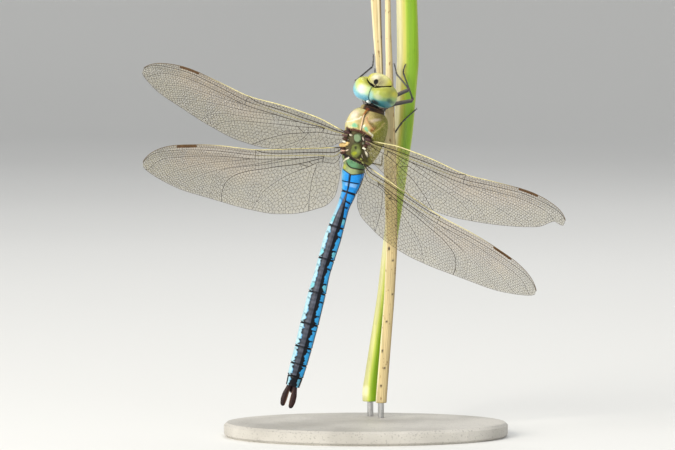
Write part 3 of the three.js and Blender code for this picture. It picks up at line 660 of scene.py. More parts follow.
# Spots on the plates: [x, y, half width, half height, strength, colour].
PLATE_SPOTS = [(-0.1, 5.05, 0.75, 0.22, 0.6, screen_colour(92, 100, 66)),
               (0.2, 4.25, 0.26, 0.36, 0.9, SOOT), (0.75, 3.6, 0.4, 0.4, 0.7, screen_colour(124, 136, 80)),
               (0.18, 2.95, 0.5, 0.45, 0.9, screen_colour(150, 158, 36)),
               (-3.0, 3.3, 0.4, 0.22, 0.9, UMBER)]
for x, y, wide, high, strength, hue in PLATE_SPOTS:
    tone = painted(tone, strength * oval(wx, wy, (x, y), (wide, high), 0, 0.5) * on_back, hue)
tone = painted(tone, 0.8 * side_seam, UMBER)
# Rear end: black, a mint band, a thin bowed line, and a pale streak to the left hind wing. The
# lines bow back towards the middle, by `bow`.
bow = np.where(side_at < 0.4, 0.36 * (0.4 - side_at), 0.13 * (side_at - 0.4) ** 2)
bow = bow.clip(0, 1.6) * (1 - smooth_step(d_at, 2.0, 5.0))
d_bowed = d_at + bow - 0.4
waist_line = d_at - 0.3 + 0.25 * (0.4 - side_at).clip(0) ** 2
band_y = fore_at + 0.16 * side_at
SAGE = screen_colour(140, 152, 104)
waist_tone = layered(all_over(UMBER, phi.shape),
                     (smooth_step(wx, -1.9, -1.2), screen_colour(96, 142, 104)),
                     (0.7 * smooth_step(wx, 0.9, 1.9), screen_colour(84, 104, 62)),
                     (smooth_step(waist_line, 0, 0.1), SAGE),
                     (0.8 * smooth_step(waist_line, 0, 0.1) *
                      smooth_step(wx, 0.9, 2.0), screen_colour(92, 104, 68)),
                     (band(waist_line, 0.0, 0.08, 0.14) * smooth_step(wx, -1.6, -1.1), SOOT),
                     (oval(side_at, d_at, (-1.85, 0.45), (0.65, 0.5), 0, 0.4), screen_colour(190, 196, 92)),
                     (smooth_step(np.abs(phi), 1.9, 2.2), SOOT))
collar = smooth_step(-d_at, 12.75, 12.95)
tone = layered(tone,
               (smooth_step(1.75 - band_y, 0.0, 0.2) * on_back, SOOT),
               (smooth_step(1.15 - band_y, 0.0, 0.2) * on_back, waist_tone),
               (smooth_step(d_at, -0.3, 0.1), waist_tone),
               (0.9 * streak(wx, wy, (-1.2, 1.3), (-3.2, -0.3), 0.12, 0.15), BONE),
               (collar, screen_colour(66, 46, 34)),
               (collar * oval(side_at, d_at, (0.2, -13.4), (1.4, 0.3), 0, 0.4), SOOT),
               (0.85 * collar * smooth_step(-side_at, 1.15, 1.9), screen_colour(176, 160, 112)),
               (0.6 * collar * oval(side_at, d_at, (-0.4, -13.15), (0.5, 0.3), 0, 0.5), SIENNA),
               (smooth_step(-d_at, 13.9, 14.0), SOOT))
relief *= in_thorax

# Relief of the abdomen: a groove and a raised hem at each ring, a keel and cross keels.
ring_gap = np.abs(d_bowed[..., None] - SEGMENT_ENDS[:-1])
ring_groove = (1 - smooth_step(ring_gap, 0.05, 0.16)).max(axis=-1)
ring_hem = (1 - smooth_step(np.abs(d_bowed[..., None] - SEGMENT_ENDS + 0.28), 0.06, 0.3)).max(axis=-1)
segment = np.clip(np.searchsorted(SEGMENT_ENDS, distance, side="right"), 0, 9)
segment_start = np.concatenate([[0], SEGMENT_ENDS[:-1]])[segment]
segment_part = ((distance - segment_start) / (SEGMENT_ENDS[segment] - segment_start))[:, None]
segment_no = np.broadcast_to(segment[:, None] + 1, d_at.shape)
in_abdomen = smooth_step(d_at, 0.1, 0.5)
cross_keel = band(segment_part, 0.29, 0.012, 0.02) * (segment_no > 2) * (segment_no < 10)
keel = band(phi, 0, 0.02, 0.07) * (segment_no > 2)
relief += in_abdomen * (0.05 * ring_hem - 0.13 * ring_groove + 0.035 * cross_keel + 0.03 * keel)
skin_grid = trunk_grid + ring_normals(trunk_grid) * relief[..., None]

# Colours of the abdomen: blue, a black stripe down the middle that narrows to the back of each
# ring and sends thin lines out to both sides, black rings, and black along each flank. The rings
# are twisted a little to the right about the tail's own line.
STRIPE_TWIST = 0.17
BLUE = screen_colour(30, 140, 222)
SKY_LIT_SIDE = screen_colour(104, 190, 232)
ICE_LIT_SIDE = screen_colour(178, 210, 216)
PALE_SPOT = screen_colour(112, 198, 210)
SHEEN = screen_colour(96, 102, 118)
BLACK = screen_colour(6, 10, 18)
off_stripe = phi - STRIPE_TWIST * smooth_step(d_at, 6, 12)
# The left side of the blue is painted paler, and segment 2 gets pale patches on its left and behind its cross
# line: painted highlights of light from the left.
blue = layered(all_over(BLUE, phi.shape),
               (0.65 * smooth_step(d_at, 8, 20), screen_colour(60, 168, 222)),
               (0.85 * smooth_step(-off_stripe, 0.25, 1.0), SKY_LIT_SIDE),
               (0.85 * smooth_step(-off_stripe, 0.3, 0.8) * smooth_step(d_at, 6, 12), ICE_LIT_SIDE),
               (0.6 * band(segment_part, 0.66, 0.06, 0.08) * (segment_no == 2) *
                band(off_stripe, 0.2, 0.5, 0.3), screen_colour(150, 196, 240)),
               (0.5 * band(segment_part, 0.22, 0.1, 0.12) * (segment_no == 2) *
                smooth_step(-off_stripe, 0.5, 1.0), screen_colour(150, 206, 240)))
rear_spot = oval(np.abs(off_stripe), segment_part, (0.78, 0.87), (0.36, 0.085), 0, 0.25) * (segment_no > 2)
blue = painted(blue, 0.8 * rear_spot * (segment_no < 6), PALE_SPOT)
stripe = np.interp(segment_part, [0, 0.1, 0.27, 0.31, 0.45, 0.62, 0.74, 0.78, 0.86, 0.93, 1],
                   [0.6, 0.54, 0.46, 0.6, 0.52, 0.46, 0.44, 0.62, 0.44, 0.52, 0.95])
stripe = np.where(segment_no == 3, 0.05 + 0.5 * smooth_step(segment_part, 0.0, 0.85), stripe)
stripe = np.where(segment_no <= 2, 0.05, np.where(segment_no == 10, 0.5, stripe))
wander = 0.06 * np.sin(3.1 * d_at + 0.5) + 0.035 * np.sin(7.9 * d_at + 1.3 + np.sign(off_stripe))
stripe = stripe + wander * (segment_no > 3) * (1 + 0.6 * (segment_no > 6))
middle_line = smooth_step(stripe - np.abs(off_stripe), -0.035 - 0.12 * (off_stripe < 0), 0.035)
notch = band(segment_part, 0.295 + 0.03 * off_stripe, 0.016, 0.02)
notch = notch * smooth_step(1.2 - np.abs(off_stripe), 0, 0.15)
notch_rear = band(segment_part, 0.77, 0.014, 0.022) * smooth_step(1.1 - np.abs(off_stripe), 0, 0.15)
notch, notch_rear = (cut * np.where(off_stripe < 0, 0.45, 1.0) for cut in (notch, notch_rear))
ring_line = (1 - smooth_step(ring_gap, 0.2, 0.32))[..., 1:].max(axis=-1)
third_line = 0.9 * band(segment_part, 0.47, 0.02, 0.02) * (segment_no == 3)
third_line = third_line * smooth_step(0.95 - off_stripe, 0, 0.1) * smooth_step(off_stripe, 0, 0.1)
second_line = band(segment_part, 0.52, 0.02, 0.03) * (segment_no == 2)
black = np.maximum.reduce([
    middle_line,
    notch * (segment_no > 2) * (segment_no < 9),
    notch_rear * (segment_no > 2) * (segment_no < 8),
    third_line,
    second_line * smooth_step(1.15 - np.abs(off_stripe), 0, 0.2),
    ring_line,
    band(np.abs(phi), 1.52, 0.14, 0.08) * (d_at > 2.5),
    smooth_step(np.abs(phi), 1.95, 2.15),
    smooth_step(np.abs(off_stripe), 0.86, 0.96) * (segment_no == 10)])
blue = layered(blue,
               (black, BLACK),
               (0.6 * (segment_no == 10) * smooth_step(off_stripe, 0, 0.3) *
                (1 - black), screen_colour(110, 160, 160)))
# Painted sheen: a blue-grey highlight over the left half of the black stripe.
sheen = smooth_step(-off_stripe, -0.12, 0.02) * (1 - smooth_step(-off_stripe, 0.28, 0.62)) * (segment_no > 2)
sheen = black * sheen * (segment_no < 10) * (0.7 + 0.3 * np.sin(3.7 * d_at) * np.sin(1.9 * d_at + 1))
blue = painted(blue, 0.7 * sheen * (1 - 0.8 * ring_line), SHEEN)
trunk_tone = painted(tone, smooth_step(d_bowed, 1.2, 1.34), BLACK)
trunk_tone = painted(trunk_tone, smooth_step(d_bowed, 1.44, 1.58), blue)

trunk_finish, trunk_tree, trunk_shader = new_finish("trunk_chitin", Roughness=0.4, Coat_Weight=0.04,
                                                    Coat_Roughness=0.2, Specular_IOR_Level=0.16)
trunk_mark, trunk_place = mark_and_place(trunk_tree)
trunk_gloss = add_node(trunk_tree, "Attribute", attribute_name="gloss").outputs["Vector"]
gloss_part = add_node(trunk_tree, "SeparateXYZ", {0: trunk_gloss})
trunk_cloud = mottle(trunk_tree, trunk_place, 900, 4.0)
trunk_grain = mottle(trunk_tree, trunk_place, 9000, 3.0)
trunk_colour = multiplied(trunk_tree, trunk_mark, graded(trunk_tree, trunk_cloud, grey(0.8), grey(1.12)))
trunk_colour = multiplied(trunk_tree, trunk_colour,
                          graded(trunk_tree, trunk_grain, grey(0.86), grey(1.06)))
trunk_tree.links.new(trunk_colour, trunk_shader.inputs["Base Color"])
trunk_dull = add_node(trunk_tree, "Math", {0: trunk_grain, 1: 0.18, 2: gloss_part.outputs["X"]},
                      operation="MULTIPLY_ADD")
trunk_tree.links.new(trunk_dull.outputs[0], trunk_shader.inputs["Roughness"])
trunk_relief = bump(trunk_tree, trunk_grain, 0.35, 0.00004)
trunk_tree.links.new(bump(trunk_tree, trunk_cloud, 0.25, 0.00012, trunk_relief),
                     trunk_shader.inputs["Normal"])
dullness = (0.5 - 0.26 * in_abdomen)[..., None] * np.ones(3)
trunk_points = on_body(closed(skin_grid))
trunk = make_piece("trunk_skin", trunk_points, outward(trunk_points, tube_faces(*phi.shape)),
                   trunk_finish, {"marking": closed(trunk_tone), "gloss": closed(dullness)})
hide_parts("neck", "prothorax", "thorax", *[f"abdomen_{n}" for n in range(1, 11)])
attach(trunk, "root")

# ---------------------------------------------------------------------------------------------
# Tail: two leaf-shaped claspers and a short plate between and below them, hard dark chitin set
# into the end of the last ring.
# ---------------------------------------------------------------------------------------------
SIDES = ((-1, "left"), (1, "right"))
CLASPER_RISE = 0.35
TAIL_PLATE_RISE = -0.5
BLADE_ROWS, BLADE_COLUMNS = 60, 36
# Rows of [reach behind the last ring, distance from the middle, half width, half thickness].
CLASPER_ROWS = [[-0.3, 0.66, 0.5, 0.3], [0.05, 0.7, 0.52, 0.3], [0.8, 0.84, 0.56, 0.3],
                [2.0, 0.98, 0.72, 0.28], [3.4, 1.04, 0.76, 0.26], [4.4, 1.0, 0.6, 0.25],
                [5.0, 0.95, 0.45, 0.25]]
TAIL_PLATE_ROWS = [[-0.3, 0, 0.75, 0.3], [0.05, 0, 0.75, 0.3], [1.0, 0, 0.7, 0.28],
                   [1.7, 0, 0.5, 0.25]]

tail_end, tail_along, tail_side, tail_up = line[-1], heading[-1], sideways[-1], upward[-1]


def blade_grid(rows, side, height, keel_height):
    """Blade behind the last ring: an oval of half width w and half thickness t at each reach, its
    upper face raised to a keel by k(1 - |cos|)^3, and its tip rounded off as a quarter circle.
    Gives its points, the reach of each row and the angle of each column."""
    reach_to = rows[-1][0]
    reach_at = reach_to - (reach_to - rows[0][0]) * (1 - np.sin(np.linspace(0, np.pi / 2, BLADE_ROWS)))
    angle = np.linspace(0, 2 * np.pi, BLADE_COLUMNS, endpoint=False)
    tip = np.sqrt(np.clip(1 - ((reach_at - reach_to + 0.45) / 0.46).clip(0) ** 2, 0, 1))
    wide = (read_rows(rows, 2, reach_at, 0.25) - 0.02) * tip
    thick = (read_rows(rows, 3, reach_at, 0.25) - 0.02) * (0.3 + 0.7 * tip)
    out = side * (read_rows(rows, 1, reach_at, 0.3)[:, None] + wide[:, None] * np.cos(angle))
    up = height + thick[:, None] * np.sin(angle) * (0.75 + keel_height * (1 - np.abs(np.cos(angle))) ** 3)
    return (tail_end + reach_at[:, None, None] * tail_along + out[..., None] * tail_side +
            up[..., None] * tail_up), reach_at, angle


def joined(parts):
    """Several closed grids in one list of points and one list of faces, each part turned so that
    its faces point outwards."""
    points, faces, first = [], [], 0
    for grid in parts:
        own = closed(grid)
        own_faces = outward(own, tube_faces(*grid.shape[:2]))
        faces += [[first + corner for corner in face] for face in own_faces]
        points.append(own)
        first += len(own)
    return np.concatenate(points), faces


def horn_material(name, rough, low, high, shine):
    """Hard dark skin: the marking colour clouded between two shades, with a fine grain relief."""
    material, tree, shader = new_finish(name, Roughness=rough, Coat_Weight=0.3 * shine,
                                        Coat_Roughness=0.25, Specular_IOR_Level=shine)
    colour, place = mark_and_place(tree)
    cloud = mottle(tree, place, 1400, 4.0)
    grain = mottle(tree, place, 12000, 3.0)
    tree.links.new(multiplied(tree, colour, graded(tree, cloud, low, high)), shader.inputs["Base Color"])
    tree.links.new(graded(tree, grain, grey(rough - 0.08), grey(rough + 0.15)),
                   shader.inputs["Roughness"])
    tree.links.new(bump(tree, grain, 0.4, 0.00003), shader.inputs["Normal"])
    return material


MAROON = screen_colour(38, 14, 12)
HORN_PALE = screen_colour(150, 108, 76)
horn_finish = horn_material("dark_horn", rough=0.34, low=grey(0.7), high=grey(1.25), shine=0.22)

for side, name in SIDES:
    blade, blade_reach, blade_angle = blade_grid(CLASPER_ROWS, side, CLASPER_RISE, 0.25)
    inner_edge = smooth_step(-np.cos(blade_angle), 0.6, 1.0) * smooth_step(blade_reach, 0.6, 1.8)[:, None]
    blade_tone = layered(all_over(MAROON, blade.shape[:2]),
                         (0.6 * inner_edge, HORN_PALE),
                         (smooth_step(blade_reach, 4.2, 5.0)[:, None], SOOT))
    blade_points, blade_faces = joined([blade])
    clasper = make_piece("clasper_" + name, on_body(blade_points), blade_faces, horn_finish,
                         {"marking": closed(blade_tone)})
    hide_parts("cercus_" + name)
    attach(clasper, "root")

plate_grid = blade_grid(TAIL_PLATE_ROWS, 1, TAIL_PLATE_RISE, 0.2)[0]
plate_points, plate_faces = joined([plate_grid])
plate_tone = all_over(MAROON, [len(plate_points)])
tail_plate = make_piece("tail_plate", on_body(plate_points), plate_faces, horn_finish,
                        {"marking": plate_tone})
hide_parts("epiproct")
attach(tail_plate, "root")

# ---------------------------------------------------------------------------------------------
# Head skin: the domed forehead and lip plates in front, the hollow back plate behind, and the
# small knob with three simple eyes on the crown. Thin chitin, yellow-green with black edges.
# ---------------------------------------------------------------------------------------------
HEAD_JOINT = np.array([-0.5, 14.4, 0.1])
HEAD_TURN = turned("z", math.radians(-3.5)) @ turned("y", math.radians(-8))
BACK_PLATE = ((0, 2.1, -0.4), (3.76, 1.61, 2.56))
FACE_POWER = 2.4
# The face sits a little to the right of the line where the eyes meet. From its own middle the
# forehead meets them along y = back + bow x^2, and a little further forward on the right.
FACE_OFFSET = 0.3
BROW_BACK = 3.85
BROW_BOW = 0.14
BROW_LIFT = 0.35
FACE_LOW, FACE_HIGH = -4.08, 1.78
FACE_RINGS, FACE_COLUMNS = 150, 180
# Rows of [height, half width, back, front].
FACE_ROWS = [[-4.1, 1.4, 2.2, 4.6], [-3.2, 2.2, 2.0, 5.7], [-2.1, 2.5, 2.4, 6.5], [-1.0, 2.55, 2.8, 6.95],
             [-0.4, 2.85, 2.9, 7.15], [0.0, 3.1, 3.0, 7.35], [0.6, 2.95, 3.1, 7.0],
             [1.15, 2.5, 3.2, 6.35], [1.55, 2.0, 3.4, 5.7], [1.8, 1.3, 3.6, 5.0]]


def on_head(points):
    """Points of the head's frame brought to the display's frame."""
    return on_body(HEAD_JOINT + points @ HEAD_TURN.T)


def egg_grid(centre, radii, rows=40, columns=56):
    """Egg about its own x axis: centre + radii * (cos a, sin a cos b, sin a sin b)."""
    a = np.linspace(0.02, np.pi - 0.02, rows)[:, None]
    b = np.linspace(0, 2 * np.pi, columns, endpoint=False)
    ball = np.stack([np.cos(a) * np.ones(columns), np.sin(a) * np.cos(b), np.sin(a) * np.sin(b)], -1)
    return np.array(centre) + ball * np.array(radii)


# Rings crowd towards the top and the bottom, and are drawn in there as quarter circles.
face_part = np.linspace(0, np.pi, FACE_RINGS)
face_height = (FACE_LOW + FACE_HIGH) / 2 - (FACE_HIGH - FACE_LOW) / 2 * np.cos(face_part)
face_angle = np.linspace(0, 2 * np.pi, FACE_COLUMNS, endpoint=False)
cap_top = np.sqrt(np.clip(1 - ((face_height - FACE_HIGH + 0.4) / 0.4).clip(0) ** 2, 0.0004, 1))
cap_low = np.sqrt(np.clip(1 - ((FACE_LOW + 0.8 - face_height) / 0.8).clip(0) ** 2, 0.0004, 1))
face_cap = (cap_top * cap_low)[:, None]
face_x, face_y = superellipse(face_angle, FACE_POWER)
face_half = (read_rows(FACE_ROWS, 1, face_height, 0.3) - 0.03)[:, None] * face_cap
face_back = read_rows(FACE_ROWS, 2, face_height, 0.3)[:, None] + 0.03
face_front = read_rows(FACE_ROWS, 3, face_height, 0.3)[:, None] - 0.03
face_grid = np.stack([face_half * face_x,
                      (face_back + face_front) / 2 + (face_front - face_back) / 2 * face_y * face_cap,
                      np.broadcast_to(face_height[:, None], (FACE_RINGS, FACE_COLUMNS))], axis=-1)
fx, fy, fz = face_grid[..., 0], face_grid[..., 1], face_grid[..., 2]
in_front = smooth_step(fy, 4.6, 5.4)
brow_seam = band(fz + 0.12 * fx * fx, -0.45, 0.03, 0.14) * in_front
lip_seam = band(fz + 0.1 * fx * fx, -1.75, 0.03, 0.12) * in_front
jaw_seam = band(fz - 0.1 * fx * fx, -3.0, 0.03, 0.14) * in_front
brow_dent = oval(fx, fy, (0, 6.9), (0.35, 0.9), 0, 0.6) * smooth_step(fz, -0.2, 0.3)
face_relief = -0.12 * (brow_seam + lip_seam + jaw_seam) - 0.1 * brow_dent
face_grid = face_grid + ring_normals(face_grid) * (face_relief * face_cap)[..., None]
face_grid = face_grid + [FACE_OFFSET, 0, 0]

CREAM_GREEN = screen_colour(208, 204, 140)
LIME = screen_colour(194, 190, 84)
ASH = screen_colour(136, 128, 96)
JET = screen_colour(5, 4, 5)
# The pale bone patch at the upper left of the forehead is a painted highlight.
face_tone = layered(all_over(CREAM_GREEN, fx.shape),
                    (smooth_step(np.abs(fx), 1.3, 2.6), LIME),
                    (0.85 * oval(fx, fy, (0.3, 5.5), (1.8, 1.1), -0.2, 0.6) *
                     smooth_step(fz, 0.0, 0.6), ASH),
                    (0.7 * oval(fx, fy, (-0.9, 6.1), (0.8, 0.6), 0.5, 0.7), BONE),
                    (0.5 * smooth_step(-fz, 0.8, 2.4), LIME),
                    (np.maximum.reduce([brow_seam, lip_seam, jaw_seam]), UMBER))
brow_edge = BROW_BACK + BROW_BOW * fx * fx + BROW_LIFT * smooth_step(fx, -0.5, 3.0)
brow_ink = 0.55 - 0.1 * np.abs(fx) - 0.14 * smooth_step(fx, 1.2, 3.0)
face_tone = painted(face_tone, smooth_step(brow_ink - fy + brow_edge, -0.05, 0.05), JET)
pentagon = oval(fx, fy, (-0.28, 5.15), (0.54, 0.64), 0.2, 0.14) * smooth_step(fz, 0.8, 1.2)
face_tone = layered(face_tone, (pentagon, JET), (0.8 * smooth_step(-fz, 3.5, 3.8), UMBER))

back_grid = egg_grid(*BACK_PLATE, rows=60, columns=70)
back_tone = layered(all_over(SOOT, back_grid.shape[:2]),
                    (smooth_step(-back_grid[..., 2], 0.6, 1.6), screen_colour(120, 124, 62)))
knob_grid = egg_grid((FACE_OFFSET, 4.2, 1.62), (0.5, 0.26, 0.42))
knob_tone = layered(all_over(SOOT, knob_grid.shape[:2]),
                    (band(knob_grid[..., 0], FACE_OFFSET, 0.05, 0.1) *
                     smooth_step(knob_grid[..., 2], 1.8, 1.95), screen_colour(176, 168, 132)))
nape_grid = egg_grid((0, 0.45, 1.0), (0.54, 0.42, 0.98), rows=24, columns=32)
nape_grid[..., 0] = nape_grid[..., 0] * (1.3 - 0.9 * nape_grid[..., 1].clip(0, 1)) - 0.15
nape_tone = all_over(screen_colour(214, 224, 222), nape_grid.shape[:2])
bead_grids = [egg_grid(place, (0.13, 0.13, 0.13), rows=14, columns=18)
              for place in ((-0.12, 4.3, 1.98), (0.72, 4.3, 1.98), (FACE_OFFSET, 4.52, 1.95))]
bead_tones = [all_over(screen_colour(84, 76, 56), grid.shape[:2]) for grid in bead_grids]
head_points, head_faces = joined([face_grid, back_grid, knob_grid, nape_grid] + bead_grids)
head_tone = np.concatenate([closed(part_tone) for part_tone in
                            [face_tone, back_tone, knob_tone, nape_tone] + bead_tones])
face_finish = horn_material("face_chitin", rough=0.4, low=grey(0.82), high=grey(1.12), shine=0.1)
head_skin = make_piece("head_skin", on_head(head_points), head_faces, face_finish,
                       {"marking": head_tone})
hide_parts("head")
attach(head_skin, "root")

# ---------------------------------------------------------------------------------------------
# Eyes: two great domes that meet in a line on the crown, each of thousands of small lenses with
# a clear, wet gloss over pigment that turns from yellow-green in front to blue behind.
# ---------------------------------------------------------------------------------------------
EYE_CENTRE = np.array([2.15, 2.88, 0.1])
EYE_RADII = np.array([2.87, 2.74, 3.67])
EYE_POWER = 2.3
EYE_TILT = math.radians(12)
EYE_MEETING = 0.03
EYE_ROWS, EYE_COLUMNS = 150, 170
# Over this far the eye bends into its front edge, which goes down past the cheek by the reach.
EDGE_EASE = 0.42
CHEEK_REACH = 2.4

eye_finish, eye_tree, eye_shader = new_finish("lens_skin", Roughness=0.36, Coat_Weight=0.3,
                                              Coat_Roughness=0.24, Specular_IOR_Level=0.3)
eye_mark, eye_place = mark_and_place(eye_tree)
eye_cloud = mottle(eye_tree, eye_place, 700, 4.0)
eye_cells = add_node(eye_tree, "TexVoronoi", {"Vector": eye_place, "Scale": 14000.0})
eye_cell_tone = graded(eye_tree, eye_cells.outputs["Distance"], grey(1.05), grey(0.84), 0.2, 0.75)
eye_colour = multiplied(eye_tree, eye_mark, graded(eye_tree, eye_cloud, grey(0.88), grey(1.1)))
eye_tree.links.new(multiplied(eye_tree, eye_colour, eye_cell_tone), eye_shader.inputs["Base Color"])
eye_tree.links.new(graded(eye_tree, eye_cloud, grey(0.3), grey(0.42)), eye_shader.inputs["Roughness"])
eye_tree.links.new(bump(eye_tree, eye_cells.outputs["Distance"], 0.25, 0.00001),
                   eye_shader.inputs["Normal"])

# Shades of each eye from its front to its back, and the steps between them as [back, front]. The left
# eye's shades are a paler lit copy and the right eye's a darker shaded copy: painted light from the left.
EYE_SHADES = {"left": [screen_colour(200, 202, 84), screen_colour(192, 206, 130),
                       screen_colour(164, 206, 190), screen_colour(124, 190, 206),
                       screen_colour(108, 182, 214)],
              "right": [screen_colour(170, 172, 72), screen_colour(160, 170, 78),
                        screen_colour(122, 158, 108), screen_colour(66, 132, 136),
                        screen_colour(12, 108, 124)]}
EYE_STEPS = [(0.15, 0.6), (-0.25, 0.1), (-0.5, -0.2), (-0.85, -0.5)]
EYE_DEEP = screen_colour(2, 36, 48)
EYE_MOSS = screen_colour(16, 76, 62)
EYE_EDGE = screen_colour(156, 188, 88)
EYE_SEAGREEN = screen_colour(206, 232, 172)
EYE_MIST = screen_colour(150, 196, 190)
EYE_PAINTED_HIGHLIGHT = screen_colour(246, 242, 228)
EYE_SOFT_HIGHLIGHT = screen_colour(186, 190, 160)
EYE_GOLD = screen_colour(206, 196, 60)
EYE_SEAM = screen_colour(60, 96, 92)
EYE_RIM = screen_colour(168, 212, 206)
for side, name in SIDES:
    mirror = np.array([side, 1, 1])
    ball = egg_grid((0, 0, 0), (1, 1, 1), EYE_ROWS, EYE_COLUMNS)
    ball = ball / (np.abs(ball) ** EYE_POWER).sum(axis=-1, keepdims=True) ** (1 / EYE_POWER)
    ball = (ball * EYE_RADII) @ turned("y", -EYE_TILT).T
    eye_grid = EYE_CENTRE + ball
    eye_grid[..., 0] = np.maximum(eye_grid[..., 0], EYE_MEETING)
    ex, ey, ez = eye_grid[..., 0], eye_grid[..., 1], eye_grid[..., 2]
    brow_line = BROW_BACK + BROW_BOW * (ex - side * FACE_OFFSET) ** 2
    brow_line = brow_line + BROW_LIFT * smooth_step(side * ex - FACE_OFFSET, -0.5, 3.0)
    brow_line = brow_line + CHEEK_REACH * (1 - smooth_step(ez, -1.2, 0.6))
    ey -= EDGE_EASE * np.log1p(np.exp(((ey - brow_line) / EDGE_EASE).clip(-40, 40)))
    fall = (ey - EYE_CENTRE[1]) / EYE_RADII[1] + 0.12 * (ez - 2.5)
    fall = fall - 0.3 * smooth_step(ex, 2.8, 4.6) * (side < 0)
    eye_tone = all_over(EYE_SHADES[name][0], ex.shape)
    for shade, (low, high) in zip(EYE_SHADES[name][1:], EYE_STEPS):
        eye_tone = painted(eye_tone, 1 - smooth_step(fall, low, high), shade)
    if side > 0:
        # The pale patch at the middle of the right eye is a soft painted highlight.
        eye_tone = layered(eye_tone,
                           (oval(ex, ey, (1.85, 0.8), (1.15, 0.55), 0.1, 0.5) *
                            smooth_step(ez, 0.6, 1.4), EYE_DEEP),
                           (0.75 * smooth_step(ex, 4.55, 5.0), EYE_EDGE),
                           (0.75 * oval(ex, ey, (4.7, 2.2), (0.4, 0.5), 0.3, 0.6), EYE_MOSS),
                           (0.8 * oval(ex, ey, (5.0, 4.1), (0.45, 0.8), 0.2, 0.6), EYE_GOLD),
                           (0.8 * oval(ex, ey, (0.3, 1.9), (0.9, 1.0), 0.0, 0.6), EYE_MIST),
                           (0.6 * oval(ex, ey, (2.4, 2.2), (0.9, 0.55), 0.0, 0.7), EYE_SOFT_HIGHLIGHT))
    else:
        # The left eye gets a paler patch by the seam and a painted highlight at its middle.
        eye_tone = layered(eye_tone,
                           (0.7 * oval(ex, ey, (0.4, 2.7), (0.6, 1.0), 0.0, 0.6), EYE_SEAGREEN),
                           (0.8 * oval(ex, ey, (1.75, 2.6), (0.9, 0.95), 0.0, 0.75), EYE_PAINTED_HIGHLIGHT))
    eye_tone = layered(eye_tone,
                       (0.5 * smooth_step(-ez, 0.2, 2.4), EYE_EDGE),
                       (0.8 * (1 - smooth_step(ex, 0.04, 0.16)), EYE_SEAM),
                       (0.8 * (1 - smooth_step(ey, 0.3, 0.45)), EYE_RIM))
    eye_points, eye_faces = joined([eye_grid * mirror])
    eye = make_piece("lens_dome_" + name, on_head(eye_points), eye_faces, eye_finish,
                     {"marking": closed(eye_tone)})
    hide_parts("eye_" + name)
    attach(eye, "root")

# ---------------------------------------------------------------------------------------------
# Feelers and legs: jointed black tubes of chitin. The feelers are two short bristles on stout
# joints; the legs end in claws and carry rows of stiff spines, the basket that catches prey.
# ---------------------------------------------------------------------------------------------
FEELER_LINE = [[0.7, 4.25, 1.4], [0.85, 4.5, 2.2], [1.15, 4.95, 3.0], [1.75, 5.85, 3.85]]
# Hip in the insect's frame; hinge, knee, ankle, sole and claw in the display's frame.
LEGS = {
    "fore_left": ([-1.1, 13.4, -4.1], [0.6, 5.2, 74.8], [-2.4, 5.7, 79.8], [1.5, 8.8, 83.1],
                  [1.7, 9.1, 84.4], [1.72, 9.5, 85.7]),
    "fore_right": ([1.1, 13.4, -4.1], [4.3, 5.5, 75.3], [9.8, 6.4, 78.0], [7.0, 8.8, 81.4],
                   [6.75, 9.2, 82.5], [6.5, 9.5, 83.6]),
    "mid_left": ([-1.4, 12.0, -4.8], [0.5, 6.8, 73.2], [-0.6, 8.6, 76.0], [1.7, 9.3, 80.2],
                 [2.0, 9.4, 81.3], [2.1, 9.6, 82.4]),
    "mid_right": ([1.5, 12.0, -4.8], [4.7, 6.5, 74.1], [10.7, 7.3, 75.5], [8.5, 10.7, 81.7],
                  [8.65, 11.2, 82.5], [9.0, 11.4, 83.5]),
    "hind_left": ([-1.6, 10.0, -6.2], [-0.9, 8.2, 68.2], [-2.2, 9.8, 61.8], [3.6, 10.0, 60.7],
                  [3.7, 10.0, 61.8], [3.75, 10.1, 62.9]),
    "hind_right": ([1.2, 10.0, -6.3], [3.0, 8.3, 68.8], [4.4, 12.0, 64.8], [8.3, 10.9, 70.5],
                   [9.9, 11.2, 72.0], [11.55, 12.5, 73.4]),
}
# Radii along each part, as [part of its length, radius].
THIGH_RADII = [[0, 0.74], [0.2, 0.62], [0.27, 0.42], [0.34, 0.56], [0.6, 0.51], [0.9, 0.42], [0.96, 0.46],
               [1, 0.34]]
SHIN_RADII = [[0, 0.3], [0.05, 0.33], [0.14, 0.2], [0.8, 0.17], [0.95, 0.22], [1, 0.15]]
FOOT_RADII = [[0, 0.17], [0.2, 0.2], [0.24, 0.13], [0.45, 0.19], [0.5, 0.13], [0.92, 0.16], [1, 0.08]]
HOOK_RADII = [[0, 0.07], [0.5, 0.05], [1, 0.015]]
FEELER_RADII = [[0, 0.15], [0.1, 0.15], [0.14, 0.1], [0.26, 0.1], [0.3, 0.04], [1, 0.02]]
SPINE_RADIUS = 0.035
# Directions that no part of a limb or bristle runs along, to start the rings round it from.
TUBE_GUIDE = [0.13, 0.97, 0.2]
BRISTLE_GUIDE = [0.31, 0.52, 0.8]
SPINE_GUIDE = [0.1, 0.9, 0.4]


def smooth_line(corners, steps):
    """Points on a line through corners: cubic runs that pass each corner along the direction from
    the one before it to the one after it."""
    corners = np.asarray(corners, float)
    padded = np.concatenate([[2 * corners[0] - corners[1]], corners, [2 * corners[-1] - corners[-2]]])
    t = np.linspace(0, len(corners) - 1, steps)
    k = np.minimum(t.astype(int), len(corners) - 2)
    u = (t - k)[:, None]
    a, b, c, d = (padded[k + shift] for shift in range(4))
    return 0.5 * (2 * b + (c - a) * u + (2 * a - 5 * b + 4 * c - d) * u * u +
                  (3 * b - a - 3 * c + d) * u * u * u)


